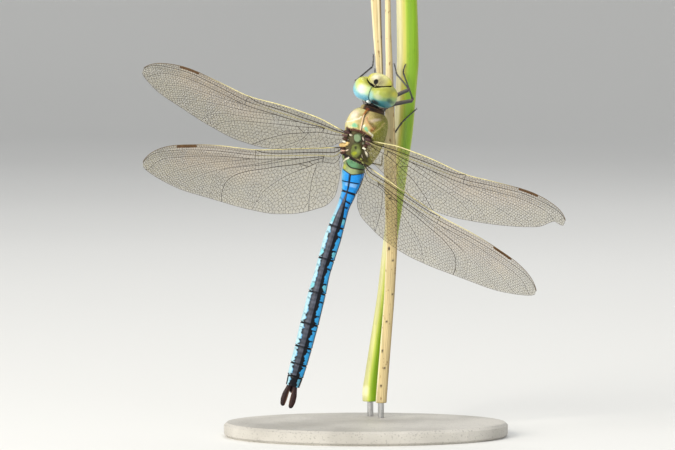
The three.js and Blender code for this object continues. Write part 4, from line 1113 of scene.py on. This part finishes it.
def limb_grid(corners, radii, steps=60, columns=18):
    """Round tube along a smooth line, its radius read from rows of [part of its length, radius],
    rounded off at both ends as a quarter circle."""
    path = smooth_line(corners, steps)
    along = unit(np.gradient(path, axis=0))
    side = unit(np.cross(TUBE_GUIDE, along))
    up = np.cross(along, side)
    at = np.linspace(0, 1, steps)
    cap = np.sqrt(np.clip(1 - (1 - np.minimum(at, 1 - at) * steps / 3).clip(0) ** 2, 0.01, 1))
    radius = read_rows(radii, 1, at, 0.012) * cap
    angle = np.linspace(0, 2 * np.pi, columns, endpoint=False)
    ring = np.cos(angle)[:, None] * side[:, None] + np.sin(angle)[:, None] * up[:, None]
    return path[:, None] + radius[:, None, None] * ring


def spikes(roots, tips, radius):
    """Three-sided pointed bristles from their roots to their tips, in points and faces."""
    along = unit(tips - roots)
    side = unit(np.cross(along, BRISTLE_GUIDE))
    up = np.cross(along, side)
    angle = np.arange(3) * 2 * np.pi / 3
    ring = roots[:, None] + radius * (np.cos(angle)[:, None] * side[:, None] +
                                      np.sin(angle)[:, None] * up[:, None])
    points = np.concatenate([ring, tips[:, None]], axis=1).reshape(-1, 3)
    one = np.array([[0, 1, 3], [1, 2, 3], [2, 0, 3], [0, 2, 1]])
    faces = (one[None] + 4 * np.arange(len(roots))[:, None, None]).reshape(-1, 3)
    return points, faces.tolist()


def spine_rows(start, end, at, length, lean):
    """Two rows of spines on a straight part of a leg, one to each side, as roots, tips and radius.
    The lean says how far they point along the part, out to the side and round it."""
    along = unit(end - start)
    out = unit(np.cross(along, SPINE_GUIDE))
    round_it = np.cross(along, out)
    roots = start + (end - start) * at[:, None]
    return [(roots, roots + length * (lean[0] * along + way * lean[1] * out + lean[2] * round_it),
             SPINE_RADIUS) for way in (-1, 1)]


def with_spikes(parts, spike_sets):
    """A form of closed grids and sets of bristles in one list of points and of faces."""
    points, faces = joined(parts)
    for roots, tips, radius in spike_sets:
        more, more_faces = spikes(roots, tips, radius)
        faces += [[len(points) + corner for corner in face] for face in more_faces]
        points = np.concatenate([points, more])
    return points, faces


leg_finish = horn_material("black_chitin", rough=0.36, low=grey(0.75), high=grey(1.3), shine=0.8)
LEG_BLACK = screen_colour(24, 21, 22)
LEG_BROWN = screen_colour(92, 66, 46)
LEG_TOP_HIGHLIGHT = screen_colour(124, 112, 102)
HIGHLIGHT_SIDE = np.array([-0.3, -0.6, 0.74])

for side, name in SIDES:
    stalk = limb_grid(np.array(FEELER_LINE) * [side, 1, 1] + [FACE_OFFSET, 0, 0], FEELER_RADII,
                      steps=70, columns=12)
    stalk_points, stalk_faces = joined([stalk])
    feeler = make_piece("feeler_" + name, on_head(stalk_points), stalk_faces, leg_finish,
                        {"marking": all_over(LEG_BLACK, [len(stalk_points)])})
    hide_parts("antenna_" + name)
    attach(feeler, "root")

for name, (hip, hinge, knee, ankle, sole, claw) in LEGS.items():
    hip, hinge, knee, ankle, sole, claw = (
        np.array(place, float) for place in (on_body(np.array(hip)) / MM, hinge, knee, ankle, sole, claw))
    thigh = limb_grid([hip, hinge, knee], THIGH_RADII, steps=90, columns=22)
    shin = limb_grid([knee, (knee + ankle) / 2 + [0, 0, 0.05], ankle], SHIN_RADII, steps=80, columns=16)
    foot = limb_grid([ankle, sole, claw], FOOT_RADII, steps=60, columns=14)
    toe_out = unit(np.cross(claw - sole, [0, 1, 0.1]))
    tread = unit(claw - sole)
    hooks = [limb_grid([claw - 0.1 * tread, claw + 0.22 * tread + 0.14 * turn_out * toe_out,
                        claw + 0.36 * tread + 0.2 * turn_out * toe_out + [0, 0.16, 0]],
                       HOOK_RADII, steps=16, columns=8) for turn_out in (-1, 1)]
    shin_at = np.linspace(0.14, 0.96, 14)
    spines = spine_rows(knee, ankle, shin_at, (0.72 - 0.25 * shin_at)[:, None], (0.55, 0.7, 0.45))
    spines += spine_rows(hinge, knee, np.linspace(0.15, 0.92, 12), 0.74, (0.35, 0.72, -0.55))
    leg_points, leg_faces = with_spikes([thigh, shin, foot] + hooks, spines)
    leg_tone = np.tile(LEG_BLACK, (len(leg_points), 1))
    # The upper front of each thigh is turned grey-brown: a painted highlight.
    thigh_skin = closed(thigh)
    thigh_skin = thigh_skin - closed(np.broadcast_to(thigh.mean(axis=1, keepdims=True), thigh.shape))
    thigh_highlight = smooth_step(thigh_skin @ HIGHLIGHT_SIDE, 0.2, 0.48)
    leg_tone[:len(thigh_skin)] = painted(leg_tone[:len(thigh_skin)], 0.8 * thigh_highlight, LEG_TOP_HIGHLIGHT)
    near_knee = 1 - smooth_step(np.linalg.norm(leg_points - knee, axis=-1), 0.3, 0.7)
    near_hip = 1 - smooth_step(np.linalg.norm(leg_points - hip, axis=-1), 0.8, 2.2)
    leg_tone = painted(leg_tone, np.maximum(0.5 * near_knee, near_hip), LEG_BROWN)
    leg = make_piece("leg_" + name, leg_points * MM, leg_faces, leg_finish, {"marking": leg_tone})
    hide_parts(*[f"leg_{name}_{part_name}" for part_name in ("femur", "tibia", "tarsus")])
    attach(leg, "root")

# ---------------------------------------------------------------------------------------------
# Down: short pale bristles that stand in the skin of the thorax and lean a little towards the
# tail, thickest on its front and its sides, with none between the wing roots.
# ---------------------------------------------------------------------------------------------
DOWN_COUNT = 1900
DOWN_LENGTH = 0.6
DOWN_RADIUS = 0.011
DOWN_LEAN = 0.7
DOWN_STRAW = screen_colour(214, 204, 158)

down_draw = np.random.default_rng(19)
down_rows = np.nonzero((distance > -12.5) & (distance < -1.0))[0]
down_row = down_draw.choice(down_rows, DOWN_COUNT)
down_column = down_draw.integers(0, TRUNK_COLUMNS, DOWN_COUNT)
bare = basin[down_row, down_column] > 0.05
down_row, down_column = down_row[~bare], down_column[~bare]
down_root = skin_grid[down_row, down_column]
down_way = ring_normals(skin_grid)[down_row, down_column] + DOWN_LEAN * heading[down_row]
down_way = unit(down_way + 0.25 * down_draw.normal(size=down_way.shape))
down_reach = DOWN_LENGTH * down_draw.uniform(0.6, 1.2, (len(down_way), 1))
down_points, down_faces = spikes(down_root - 0.05 * down_way, down_root + down_reach * down_way, DOWN_RADIUS)
down_finish = horn_material("pale_down", rough=0.5, low=grey(0.8), high=grey(1.15), shine=0.2)
down = make_piece("thorax_down", on_body(down_points), down_faces, down_finish,
                  {"marking": all_over(DOWN_STRAW, [len(down_points)])})
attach(down, "root")

# ---------------------------------------------------------------------------------------------
# Wings: a clear, faintly smoked film, pleated along its length and stretched over a net of dark
# veins, with a yellow front edge and a brown cell near the tip. Each is hinged in the thorax.
# ---------------------------------------------------------------------------------------------
FILM_HALF = 0.014
FILM_ROWS, FILM_COLUMNS = 170, 60
PLEATS = [[0, 0.1], [0.06, -0.2], [0.14, 0.25], [0.26, -0.12], [0.5, 0.08], [1, 0]]
PLEAT_FADE = 0.7
# Outlines as [part of the length, part of the length behind the hinge line].
FORE_LEADING = [[0, -0.02], [0.13, -0.044], [0.3, -0.048], [0.48, -0.036], [0.6, -0.054],
                [0.78, -0.077], [0.85, -0.073], [0.905, -0.063], [0.94, -0.053], [0.965, -0.041],
                [0.985, -0.026], [0.996, -0.012], [1, 0]]
FORE_TRAILING = [[0, 0.03], [0.04, 0.065], [0.17, 0.12], [0.337, 0.165], [0.486, 0.168], [0.66, 0.135],
                 [0.79, 0.1], [0.86, 0.083], [0.9, 0.069], [0.93, 0.055], [0.955, 0.041],
                 [0.975, 0.029], [0.99, 0.017], [1, 0.004]]
TORN_TRAILING = [[0, 0.03], [0.04, 0.065], [0.17, 0.12], [0.337, 0.168], [0.486, 0.168], [0.66, 0.133],
                 [0.79, 0.097], [0.89, 0.06], [0.925, 0.034], [0.937, 0.004], [0.965, 0.012],
                 [0.99, 0.014], [1, 0.006]]
HIND_LEADING = [[0, -0.036], [0.14, -0.038], [0.417, -0.042], [0.6, -0.073], [0.71, -0.082],
                [0.83, -0.085], [0.885, -0.077], [0.925, -0.066], [0.956, -0.05], [0.98, -0.031],
                [0.994, -0.014], [1, 0]]
HIND_TRAILING = [[-0.02, 0.01], [0, 0.12], [0.02, 0.19], [0.065, 0.236], [0.2, 0.268], [0.345, 0.265],
                 [0.489, 0.231], [0.632, 0.185], [0.804, 0.131], [0.88, 0.093], [0.932, 0.063],
                 [0.965, 0.041], [0.988, 0.021], [1, 0.004]]
# Main veins from front to back: radius at the root and the tip, then [part of the length, part of
# the chord]. A vein that starts further out branches from the one before it.
FORE_VEINS = [
    (0.1, 0.06, [[-0.02, 0.12], [0.1, 0.15], [0.3, 0.115], [0.43, 0.07], [0.48, 0.0]]),
    (0.1, 0.055, [[-0.02, 0.2], [0.1, 0.22], [0.3, 0.175], [0.48, 0.12], [0.7, 0.1], [0.85, 0.115],
                  [0.96, 0.1], [1, 0.1]]),
    (0.085, 0.045, [[0.09, 0.24], [0.2, 0.27], [0.4, 0.22], [0.6, 0.21], [0.8, 0.27], [0.92, 0.42],
                    [0.985, 1.02]]),
    (0.05, 0.035, [[0.5, 0.215], [0.6, 0.31], [0.75, 0.44], [0.86, 0.66], [0.93, 1.02]]),
    (0.05, 0.035, [[0.33, 0.24], [0.42, 0.29], [0.56, 0.41], [0.7, 0.62], [0.8, 0.86], [0.84, 1.02]]),
    (0.05, 0.035, [[0.22, 0.27], [0.32, 0.35], [0.46, 0.45], [0.56, 0.58], [0.63, 0.8], [0.66, 1.02]]),
    (0.06, 0.035, [[0.09, 0.26], [0.2, 0.38], [0.35, 0.46], [0.48, 0.58], [0.56, 0.8], [0.595, 1.02]]),
    (0.07, 0.04, [[-0.02, 0.36], [0.1, 0.42], [0.17, 0.52], [0.26, 0.64], [0.34, 0.82], [0.4, 1.02]]),
    (0.05, 0.03, [[0.155, 0.5], [0.18, 0.72], [0.22, 0.85], [0.28, 1.02]]),
]
HIND_VEINS = [
    (0.1, 0.06, [[-0.02, 0.12], [0.1, 0.07], [0.3, 0.06], [0.38, 0.04], [0.415, 0.0]]),
    (0.1, 0.055, [[-0.02, 0.22], [0.1, 0.12], [0.3, 0.1], [0.415, 0.09], [0.6, 0.1], [0.72, 0.105],
                  [0.84, 0.12], [0.96, 0.1], [1, 0.1]]),
    (0.085, 0.045, [[0.07, 0.15], [0.2, 0.15], [0.4, 0.15], [0.6, 0.19], [0.8, 0.27], [0.92, 0.42],
                    [0.985, 1.02]]),
    (0.05, 0.035, [[0.44, 0.155], [0.55, 0.25], [0.7, 0.38], [0.83, 0.62], [0.92, 1.02]]),
    (0.05, 0.035, [[0.28, 0.15], [0.4, 0.22], [0.55, 0.36], [0.68, 0.56], [0.79, 0.84], [0.83, 1.02]]),
    (0.06, 0.03, [[0.2, 0.155], [0.35, 0.22], [0.5, 0.32], [0.6, 0.46], [0.645, 0.7], [0.66, 1.02]]),
    (0.08, 0.06, [[0.07, 0.17], [0.2, 0.235], [0.34, 0.28], [0.47, 0.38], [0.555, 0.56], [0.59, 0.78],
                  [0.6, 1.02]]),
    (0.06, 0.025, [[-0.02, 0.4], [0.08, 0.24], [0.15, 0.29], [0.27, 0.42], [0.38, 0.66], [0.45, 1.02]]),
    (0.055, 0.03, [[0.11, 0.27], [0.135, 0.5], [0.15, 0.75], [0.16, 1.02]]),
]
# Short stout veins: [part of the length, number of the main vein] at both ends.
FORE_STAYS = [[0.48, 0, 0.485, 3], [0.092, 2, 0.1, 8], [0.165, 7, 0.16, 8], [0.215, 7, 0.175, 8]]
HIND_STAYS = [[0.415, 0, 0.42, 3], [0.072, 2, 0.08, 8], [0.15, 7, 0.13, 8], [0.2, 7, 0.15, 8]]
WINGS = {
    "forewing_left": dict(side=-1, span=49.5, leading=FORE_LEADING, whole=FORE_TRAILING,
                          edge=FORE_TRAILING, veins=FORE_VEINS, stays=FORE_STAYS, spot=(0.735, 0.835),
                          root=(-3.65, 5.85, 3.4), sweep=-0.6, lift=-1, pitch=-2.5, seed=3),
    "forewing_right": dict(side=1, span=48.6, leading=FORE_LEADING, whole=FORE_TRAILING,
                           edge=TORN_TRAILING, veins=FORE_VEINS, stays=FORE_STAYS, spot=(0.735, 0.835),
                           root=(2.8, 5.65, 3.7), sweep=4.1, lift=4, pitch=-2.5, seed=5),
    "hindwing_left": dict(side=-1, span=47.5, leading=HIND_LEADING, whole=HIND_TRAILING,
                          edge=HIND_TRAILING, veins=HIND_VEINS, stays=HIND_STAYS, spot=(0.715, 0.82),
                          root=(-3.5, 1.4, 2.6), sweep=19.3, lift=-6, pitch=0, seed=7),
    "hindwing_right": dict(side=1, span=47.5, leading=HIND_LEADING, whole=HIND_TRAILING,
                           edge=HIND_TRAILING, veins=HIND_VEINS, stays=HIND_STAYS, spot=(0.715, 0.82),
                           root=(3.9, -0.5, 2.6), sweep=17.2, lift=3, pitch=31.6, seed=11),
}
# Knobs of each wing's hinge, in millimetres: [along the wing, back, up, three half sizes, colour].
FORE_KNOBS = [(-0.7, -1.05, 0.15, 0.8, 0.4, 0.35, screen_colour(70, 48, 46)),
              (-0.4, -0.2, 0.05, 0.7, 0.3, 0.3, screen_colour(88, 62, 58)),
              (-0.75, 0.5, 0.05, 0.6, 0.3, 0.3, UMBER), (-0.75, 1.15, 0.05, 0.45, 0.22, 0.2, BONE)]
HIND_KNOBS = [(-1.25, -2.25, -0.1, 1.1, 0.55, 0.45, screen_colour(196, 166, 108)),
              (-1.1, -1.5, 0.05, 0.75, 0.28, 0.3, UMBER),
              (-1.15, -0.95, 0.1, 0.6, 0.2, 0.25, screen_colour(190, 156, 136)),
              (-1.1, -0.45, 0.0, 0.8, 0.28, 0.3, UMBER)]
KNOBS = {"forewing_left": FORE_KNOBS, "forewing_right": FORE_KNOBS, "hindwing_left": HIND_KNOBS,
         "hindwing_right": []}
# Cells of the net: width at the root and the tip, height over width, how far a seed may stand from
# a main vein and still be mirrored in it, in widths, and the shortest and longest wall.
CELL_ROOT = 0.95
CELL_TIP = 0.56
CELL_ASPECT = 0.88
MIRROR_REACH = 1.7
WALL_SHORTEST, WALL_LONGEST = 0.03, 2.2
# Strips between main veins hold cells where they are wider than the first, and seeds stand where
# they are wider than the second.
STRIP_WIDTH, SEED_WIDTH = 0.16, 0.12
NET_END = 0.997
NET_RADIUS = 0.03
STAY_RADIUS = 0.06
REAR_RADIUS = 0.035
VEIN_RISE = 0.02
FRONT_RADIUS, FRONT_THINNING = 0.125, 0.06
RAIL_START, RAIL_END = -0.03, 0.995
RAIL_STEPS, RAIL_COLUMNS = 260, 8
STAY_STEPS = 12
SPOT_STEPS, SPOT_COLUMNS = 40, 16
SPOT_RISE = 0.07


def edge_at(rows, u):
    """Height of an outline at a part of the length, its corners rounded off but its tip kept."""
    return read_rows(rows, 1, u, np.interp(u, [0.02, 0.2, 0.8, 0.97, 1.0], [0.01, 0.05, 0.045, 0.012, 0.003]))


def pleat_height(u, v, wing):
    """Height of the film: the pleats read across the chord, fading towards the tip."""
    lead = edge_at(wing["leading"], u)
    chord = np.maximum(edge_at(wing["edge"], u) - lead, 1e-4)
    return read_rows(PLEATS, 1, np.clip((v - lead) / chord, 0, 1), 0.02) * (1 - PLEAT_FADE * u.clip(0))


def on_wing(u, v, rise, wing):
    """A place on a wing, as parts of its length out and back and a rise in millimetres over the
    film, brought to the display's frame: pitched, lifted and swept about the wing's root."""
    height = pleat_height(u, v, wing) + rise
    place = np.stack([wing["side"] * u * wing["span"], -v * wing["span"], height], axis=-1)
    hold = (turned("z", -wing["side"] * math.radians(wing["sweep"])) @
            turned("y", -wing["side"] * math.radians(wing["lift"])) @
            turned("x", math.radians(wing["pitch"])))
    return on_body(np.array(wing["root"]) + place @ hold.T)


def film_grid(wing):
    """Thin closed sheet: rows go out along the wing, and each ring runs back over the top of the
    film and forward under it. Gives its points, the u of each row and the v of each point."""
    u = 0.995 - (1 - np.linspace(0, 1, FILM_ROWS)) ** 1.15
    part_back = 0.5 - 0.5 * np.cos(np.linspace(0, np.pi, FILM_COLUMNS))
    part_round = np.concatenate([part_back, part_back[::-1]])
    rise = np.repeat([FILM_HALF, -FILM_HALF], FILM_COLUMNS)
    lead, trail = edge_at(wing["leading"], u), edge_at(wing["edge"], u)
    v = lead[:, None] + (trail - lead)[:, None] * part_round
    return on_wing(np.broadcast_to(u[:, None], v.shape), v, rise, wing), u, v


def vein_path(corners, wing):
    """Line of one main vein: a smooth line through its corners, in parts of length and of chord,
    brought to u and v. It never turns back towards the root."""
    path = smooth_line(corners, 60 * len(corners))
    u = np.maximum.accumulate(path[:, 0])
    lead = edge_at(wing["leading"], u)
    return u, lead + (edge_at(wing["whole"], u) - lead) * path[:, 1].clip(0)


def vein_curves(wing, u):
    """Places back of every main vein at each u. Before its start a vein lies on the one before it;
    after its end it stays behind the wing's edge. The first is the leading edge."""
    lead, whole = edge_at(wing["leading"], u), edge_at(wing["whole"], u)
    curves = [lead]
    for _, _, corners in wing["veins"]:
        path_u, path_v = vein_path(corners, wing)
        shape = np.interp(u, path_u, path_v)
        shape = np.where(u > path_u[-1], whole + 0.05 if corners[-1][1] > 1 else lead, shape)
        shape = np.where(u < path_u[0], curves[-1], np.maximum(shape, curves[-1]))
        curves.append(shape)
    return np.stack(curves)


def cell_size(u):
    """Width of a cell: widest at the root, falling evenly to the tip."""
    return CELL_ROOT + (CELL_TIP - CELL_ROOT) * smooth_step(u, 0.0, 0.8)


def net_edges(wing):
    """Ends of the small veins, in u and v. Between two main veins, seeds stand in even rows, every
    other row half a step on. The walls half way between neighbouring seeds are the small veins: they
    join the middles of the circles through the triangles that the seeds make. Seeds mirrored in
    the main veins stop the walls there."""
    rng = np.random.default_rng(wing["seed"])
    span = wing["span"]
    u_fine = np.linspace(-0.02, 1.0, 1400)
    curves = vein_curves(wing, u_fine)
    margin = edge_at(wing["edge"], u_fine)
    limits = np.concatenate([np.minimum(curves, margin), margin[None]])
    steps = np.cumsum(1 / cell_size(u_fine)) * (u_fine[1] - u_fine[0]) * span
    found = []
    for upper, lower in zip(limits[:-1], limits[1:]):
        column_at = np.interp(np.arange(0.5, steps[-1], 1.0) + rng.uniform(-0.1, 0.1), steps, u_fine)
        top = np.interp(column_at, u_fine, upper)
        room = (np.interp(column_at, u_fine, lower) - top) * span
        size = cell_size(column_at)
        count = np.maximum(1, np.round(room / (CELL_ASPECT * size))) * (room >= STRIP_WIDTH)
        count = count.astype(int)
        if count.sum() < 4:
            continue
        column = np.repeat(np.arange(len(count)), count)
        row = np.arange(count.sum()) - np.repeat(np.cumsum(count) - count, count)
        many = (count > 1)[column]
        su = column_at[column] + (row % 2) * 0.5 * size[column] / span * many
        su = su + rng.normal(0, 0.1, len(su)) * size[column] / span * many
        share = (row + 0.5 + rng.normal(0, 0.07, len(su)) * many) / count[column]
        su_top, su_low = np.interp(su, u_fine, upper), np.interp(su, u_fine, lower)
        sv = su_top + (su_low - su_top) * share.clip(0.06, 0.94)
        keep = (su_low - su_top) * span > SEED_WIDTH
        seeds = np.stack([su, sv], axis=-1)[keep] * span
        own = len(seeds)
        cloud = [seeds]
        for border in (upper, lower):
            rim = np.stack([u_fine, border], axis=-1) * span
            gap = ((seeds[:, None, :] - rim[None]) ** 2).sum(axis=-1)
            nearest = gap.argmin(axis=1)
            close = gap.min(axis=1) < (MIRROR_REACH * cell_size(seeds[:, 0] / span)) ** 2
            cloud.append((2 * rim[nearest] - seeds)[close])
        cloud = np.concatenate(cloud)
        made = delaunay_2d_cdt([Vector(place) for place in cloud.tolist()], [], [], 0, 1e-5)
        nodes = np.array([tuple(place) for place in made[0]])
        origin = np.array([min(group) if group else 10 ** 6 for group in made[3]])
        triangles = np.array([face for face in made[2] if len(face) == 3])
        a, b, c = (nodes[triangles[:, k]] for k in range(3))
        area = 2 * ((b[:, 0] - a[:, 0]) * (c[:, 1] - a[:, 1]) - (b[:, 1] - a[:, 1]) * (c[:, 0] - a[:, 0]))
        area = np.where(np.abs(area) < 1e-9, 1e-9, area)
        bb, cc = ((b - a) ** 2).sum(axis=-1), ((c - a) ** 2).sum(axis=-1)
        hub = a + np.stack([((c - a)[:, 1] * bb - (b - a)[:, 1] * cc) / area,
                            ((b - a)[:, 0] * cc - (c - a)[:, 0] * bb) / area], axis=-1)
        # Two triangles that share a side give one wall, between the middles of their circles.
        sides = np.concatenate([triangles[:, [0, 1]], triangles[:, [1, 2]], triangles[:, [2, 0]]])
        sides = np.sort(sides, axis=1)
        face_of = np.tile(np.arange(len(triangles)), 3)
        order = np.lexsort((sides[:, 1], sides[:, 0]))
        sides, face_of = sides[order], face_of[order]
        pair = np.nonzero((sides[:-1] == sides[1:]).all(axis=1))[0]
        inside = (origin[sides[pair, 0]] < own) & (origin[sides[pair, 1]] < own)
        pair = pair[inside]
        ends = np.stack([hub[face_of[pair]], hub[face_of[pair + 1]]], axis=1) / span
        end_top = np.interp(ends[..., 0], u_fine, upper)
        end_low = np.interp(ends[..., 0], u_fine, lower)
        ends[..., 1] = np.clip(ends[..., 1], end_top, np.maximum(end_low, end_top))
        wall = np.linalg.norm(ends[:, 0] - ends[:, 1], axis=-1) * span
        sound = (wall > WALL_SHORTEST) & (wall < WALL_LONGEST) & (ends[..., 0].max(axis=1) < NET_END)
        found.append(ends[sound])
    return np.concatenate(found)


def round_vein(along):
    """Two unit directions square to each way along a vein: to its side, and up from the body."""
    up = unit(BODY_TURN[:, 2] - (along @ BODY_TURN[:, 2])[:, None] * along)
    return np.cross(along, up), up


def strut_mesh(starts, ends, radius):
    """Four-sided rods, one from each start to its end, with a flat face over each end."""
    side, up = round_vein(unit(ends - starts))
    spokes = np.stack([side, 1.1 * up, -side, -1.1 * up], axis=1) * radius
    points = np.concatenate([starts[:, None] + spokes, ends[:, None] + spokes], axis=1).reshape(-1, 3)
    walls = np.array([[0, 1, 5, 4], [1, 2, 6, 5], [2, 3, 7, 6], [3, 0, 4, 7]])[:, ::-1]
    shut = np.array([[0, 1, 2, 3], [7, 6, 5, 4]])[:, ::-1]
    one = np.concatenate([walls, shut])
    return points, (one[None] + 8 * np.arange(len(starts))[:, None, None]).reshape(-1, 4).tolist()


def rail_grid(path, radius):
    """Tube along a path of points, its radius given at each, with the body's up as its own."""
    side, up = round_vein(unit(np.gradient(path, axis=0)))
    angle = np.linspace(0, 2 * np.pi, RAIL_COLUMNS, endpoint=False)
    ring = np.cos(angle)[:, None] * side[:, None] + np.sin(angle)[:, None] * up[:, None]
    return path[:, None] + radius[:, None, None] * ring


film_finish, film_tree, film_shader = new_finish("wing_film", Roughness=0.2, Alpha=0.17, IOR=1.5)
film_mark, film_place = mark_and_place(film_tree)
film_cloud = mottle(film_tree, film_place, 260, 3.0)
film_cells = add_node(film_tree, "TexVoronoi", {"Vector": film_place, "Scale": 1500.0})
film_colour = multiplied(film_tree, film_mark, graded(film_tree, film_cloud, grey(0.75), grey(1.2)))
film_tree.links.new(film_colour, film_shader.inputs["Base Color"])
film_tree.links.new(graded(film_tree, film_cloud, grey(0.12), grey(0.3)), film_shader.inputs["Roughness"])
film_tree.links.new(bump(film_tree, film_cells.outputs["Distance"], 0.6, 0.00012),
                    film_shader.inputs["Normal"])

vein_finish = horn_material("vein_chitin", rough=0.42, low=grey(0.8), high=grey(1.2), shine=0.2)
FILM_SMOKE = screen_colour(140, 128, 80)
FILM_AMBER = screen_colour(172, 132, 62)
VEIN_BROWN = screen_colour(44, 34, 20)
EDGE_YELLOW = screen_colour(212, 202, 146)
EDGE_BROWN = screen_colour(92, 74, 44)
SPOT_BROWN = screen_colour(78, 54, 28)

for name, wing in WINGS.items():
    span = wing["span"]
    film, film_u, film_v = film_grid(wing)
    film_points, film_faces = joined([film])
    film_lead = edge_at(wing["leading"], film_u)[:, None]
    back_share = (film_v - film_lead) / (edge_at(wing["edge"], film_u)[:, None] - film_lead).clip(1e-3)
    film_tone = all_over(FILM_SMOKE, film_v.shape)
    amber = band(film_u, 0.62, 0.12, 0.2)[:, None] * (1 - smooth_step(back_share, 0.3, 0.7))
    film_tone = painted(film_tone, 0.5 * amber, FILM_AMBER)
    skin_film = make_piece("film_" + name, film_points, film_faces, film_finish,
                           {"marking": closed(film_tone)})
    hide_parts(name)
    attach(skin_film, "root")

    u_rail = np.linspace(RAIL_START, RAIL_END, RAIL_STEPS)
    curves = vein_curves(wing, u_rail)
    margin = edge_at(wing["edge"], u_rail)
    front_radius = FRONT_RADIUS - FRONT_THINNING * smooth_step(u_rail, 0, 0.8)
    front = rail_grid(on_wing(u_rail, curves[0], 0, wing), front_radius * MM)
    front_tone = layered(all_over(EDGE_YELLOW, front.shape[:2]),
                         (smooth_step(u_rail, 0.55, 0.74)[:, None], EDGE_BROWN),
                         (1 - smooth_step(u_rail, 0.005, 0.04)[:, None], VEIN_BROWN))
    rear = rail_grid(on_wing(u_rail, margin, 0, wing), np.full(RAIL_STEPS, REAR_RADIUS * MM))
    rails = [front, rear]
    rail_tones = [front_tone, all_over(VEIN_BROWN, rear.shape[:2])]
    for vein_no, (thick, thin, corners) in enumerate(wing["veins"], start=1):
        path_u, path_v = vein_path(corners, wing)
        path_v = np.maximum(path_v, np.interp(path_u, u_rail, curves[vein_no - 1]))
        live = (path_v <= edge_at(wing["edge"], path_u)) & (path_u >= RAIL_START)
        live &= path_u < RAIL_END - 0.002
        live &= np.append(True, np.diff(path_u) + np.abs(np.diff(path_v)) > 1e-5)
        path_u, path_v = path_u[live], path_v[live]
        radius = thick + (thin - thick) * smooth_step(path_u, 0.0, 0.75)
        rails.append(rail_grid(on_wing(path_u, path_v, VEIN_RISE, wing), radius * MM))
        hue = EDGE_YELLOW if vein_no == 2 else VEIN_BROWN
        vein_tone = all_over(VEIN_BROWN, (len(path_u), RAIL_COLUMNS))
        rail_tones.append(painted(vein_tone, 0.45 * (1 - smooth_step(path_u, 0.3, 0.5))[:, None], hue))
    for start_u, start_vein, end_u, end_vein in wing["stays"]:
        stay_u = np.linspace(start_u, end_u, STAY_STEPS)
        stay_v = np.linspace(np.interp(start_u, u_rail, curves[start_vein]),
                             np.interp(end_u, u_rail, curves[end_vein]), STAY_STEPS)
        stay = on_wing(stay_u, stay_v, VEIN_RISE, wing)
        rails.append(rail_grid(stay, np.full(STAY_STEPS, STAY_RADIUS * MM)))
        rail_tones.append(all_over(VEIN_BROWN, (STAY_STEPS, RAIL_COLUMNS)))
    spot_u = np.linspace(*wing["spot"], SPOT_STEPS)
    spot_front = np.interp(spot_u, u_rail, curves[0])
    spot_rear = spot_front + 0.55 * (np.interp(spot_u, u_rail, curves[2]) - spot_front)
    spot_end = np.sqrt(np.clip(1 - np.abs(np.linspace(-1, 1, SPOT_STEPS)) ** 12, 0, 1))
    spot_back, spot_up = superellipse(np.linspace(0, 2 * np.pi, SPOT_COLUMNS, endpoint=False), 4)
    spot_half = ((spot_rear - spot_front) / 2 * spot_end)[:, None]
    spot_v = ((spot_front + spot_rear) / 2)[:, None] + spot_half * spot_back
    spot_rise = SPOT_RISE * spot_up * spot_end[:, None]
    rails.append(on_wing(np.broadcast_to(spot_u[:, None], spot_v.shape), spot_v, spot_rise, wing))
    rail_tones.append(all_over(SPOT_BROWN, spot_v.shape))
    for along, back, up, *half_sizes, hue in KNOBS[name]:
        knob = egg_grid((along, back, up), half_sizes, rows=24, columns=32)
        rails.append(on_wing(knob[..., 0] / span, knob[..., 1] / span, knob[..., 2], wing))
        rail_tones.append(all_over(hue, knob.shape[:2]))
    rail_points, rail_faces = joined(rails)
    net = net_edges(wing)
    strut_points, strut_faces = strut_mesh(on_wing(net[:, 0, 0], net[:, 0, 1], 0, wing),
                                           on_wing(net[:, 1, 0], net[:, 1, 1], 0, wing), NET_RADIUS * MM)
    strut_faces = [[len(rail_points) + corner for corner in face] for face in strut_faces]
    vein_tones = np.concatenate([closed(rail_tone) for rail_tone in rail_tones] +
                                [all_over(VEIN_BROWN, [len(strut_points)])])
    veins = make_piece("veins_" + name, np.concatenate([rail_points, strut_points]),
                       rail_faces + strut_faces, vein_finish, {"marking": vein_tones})
    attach(veins, "root")
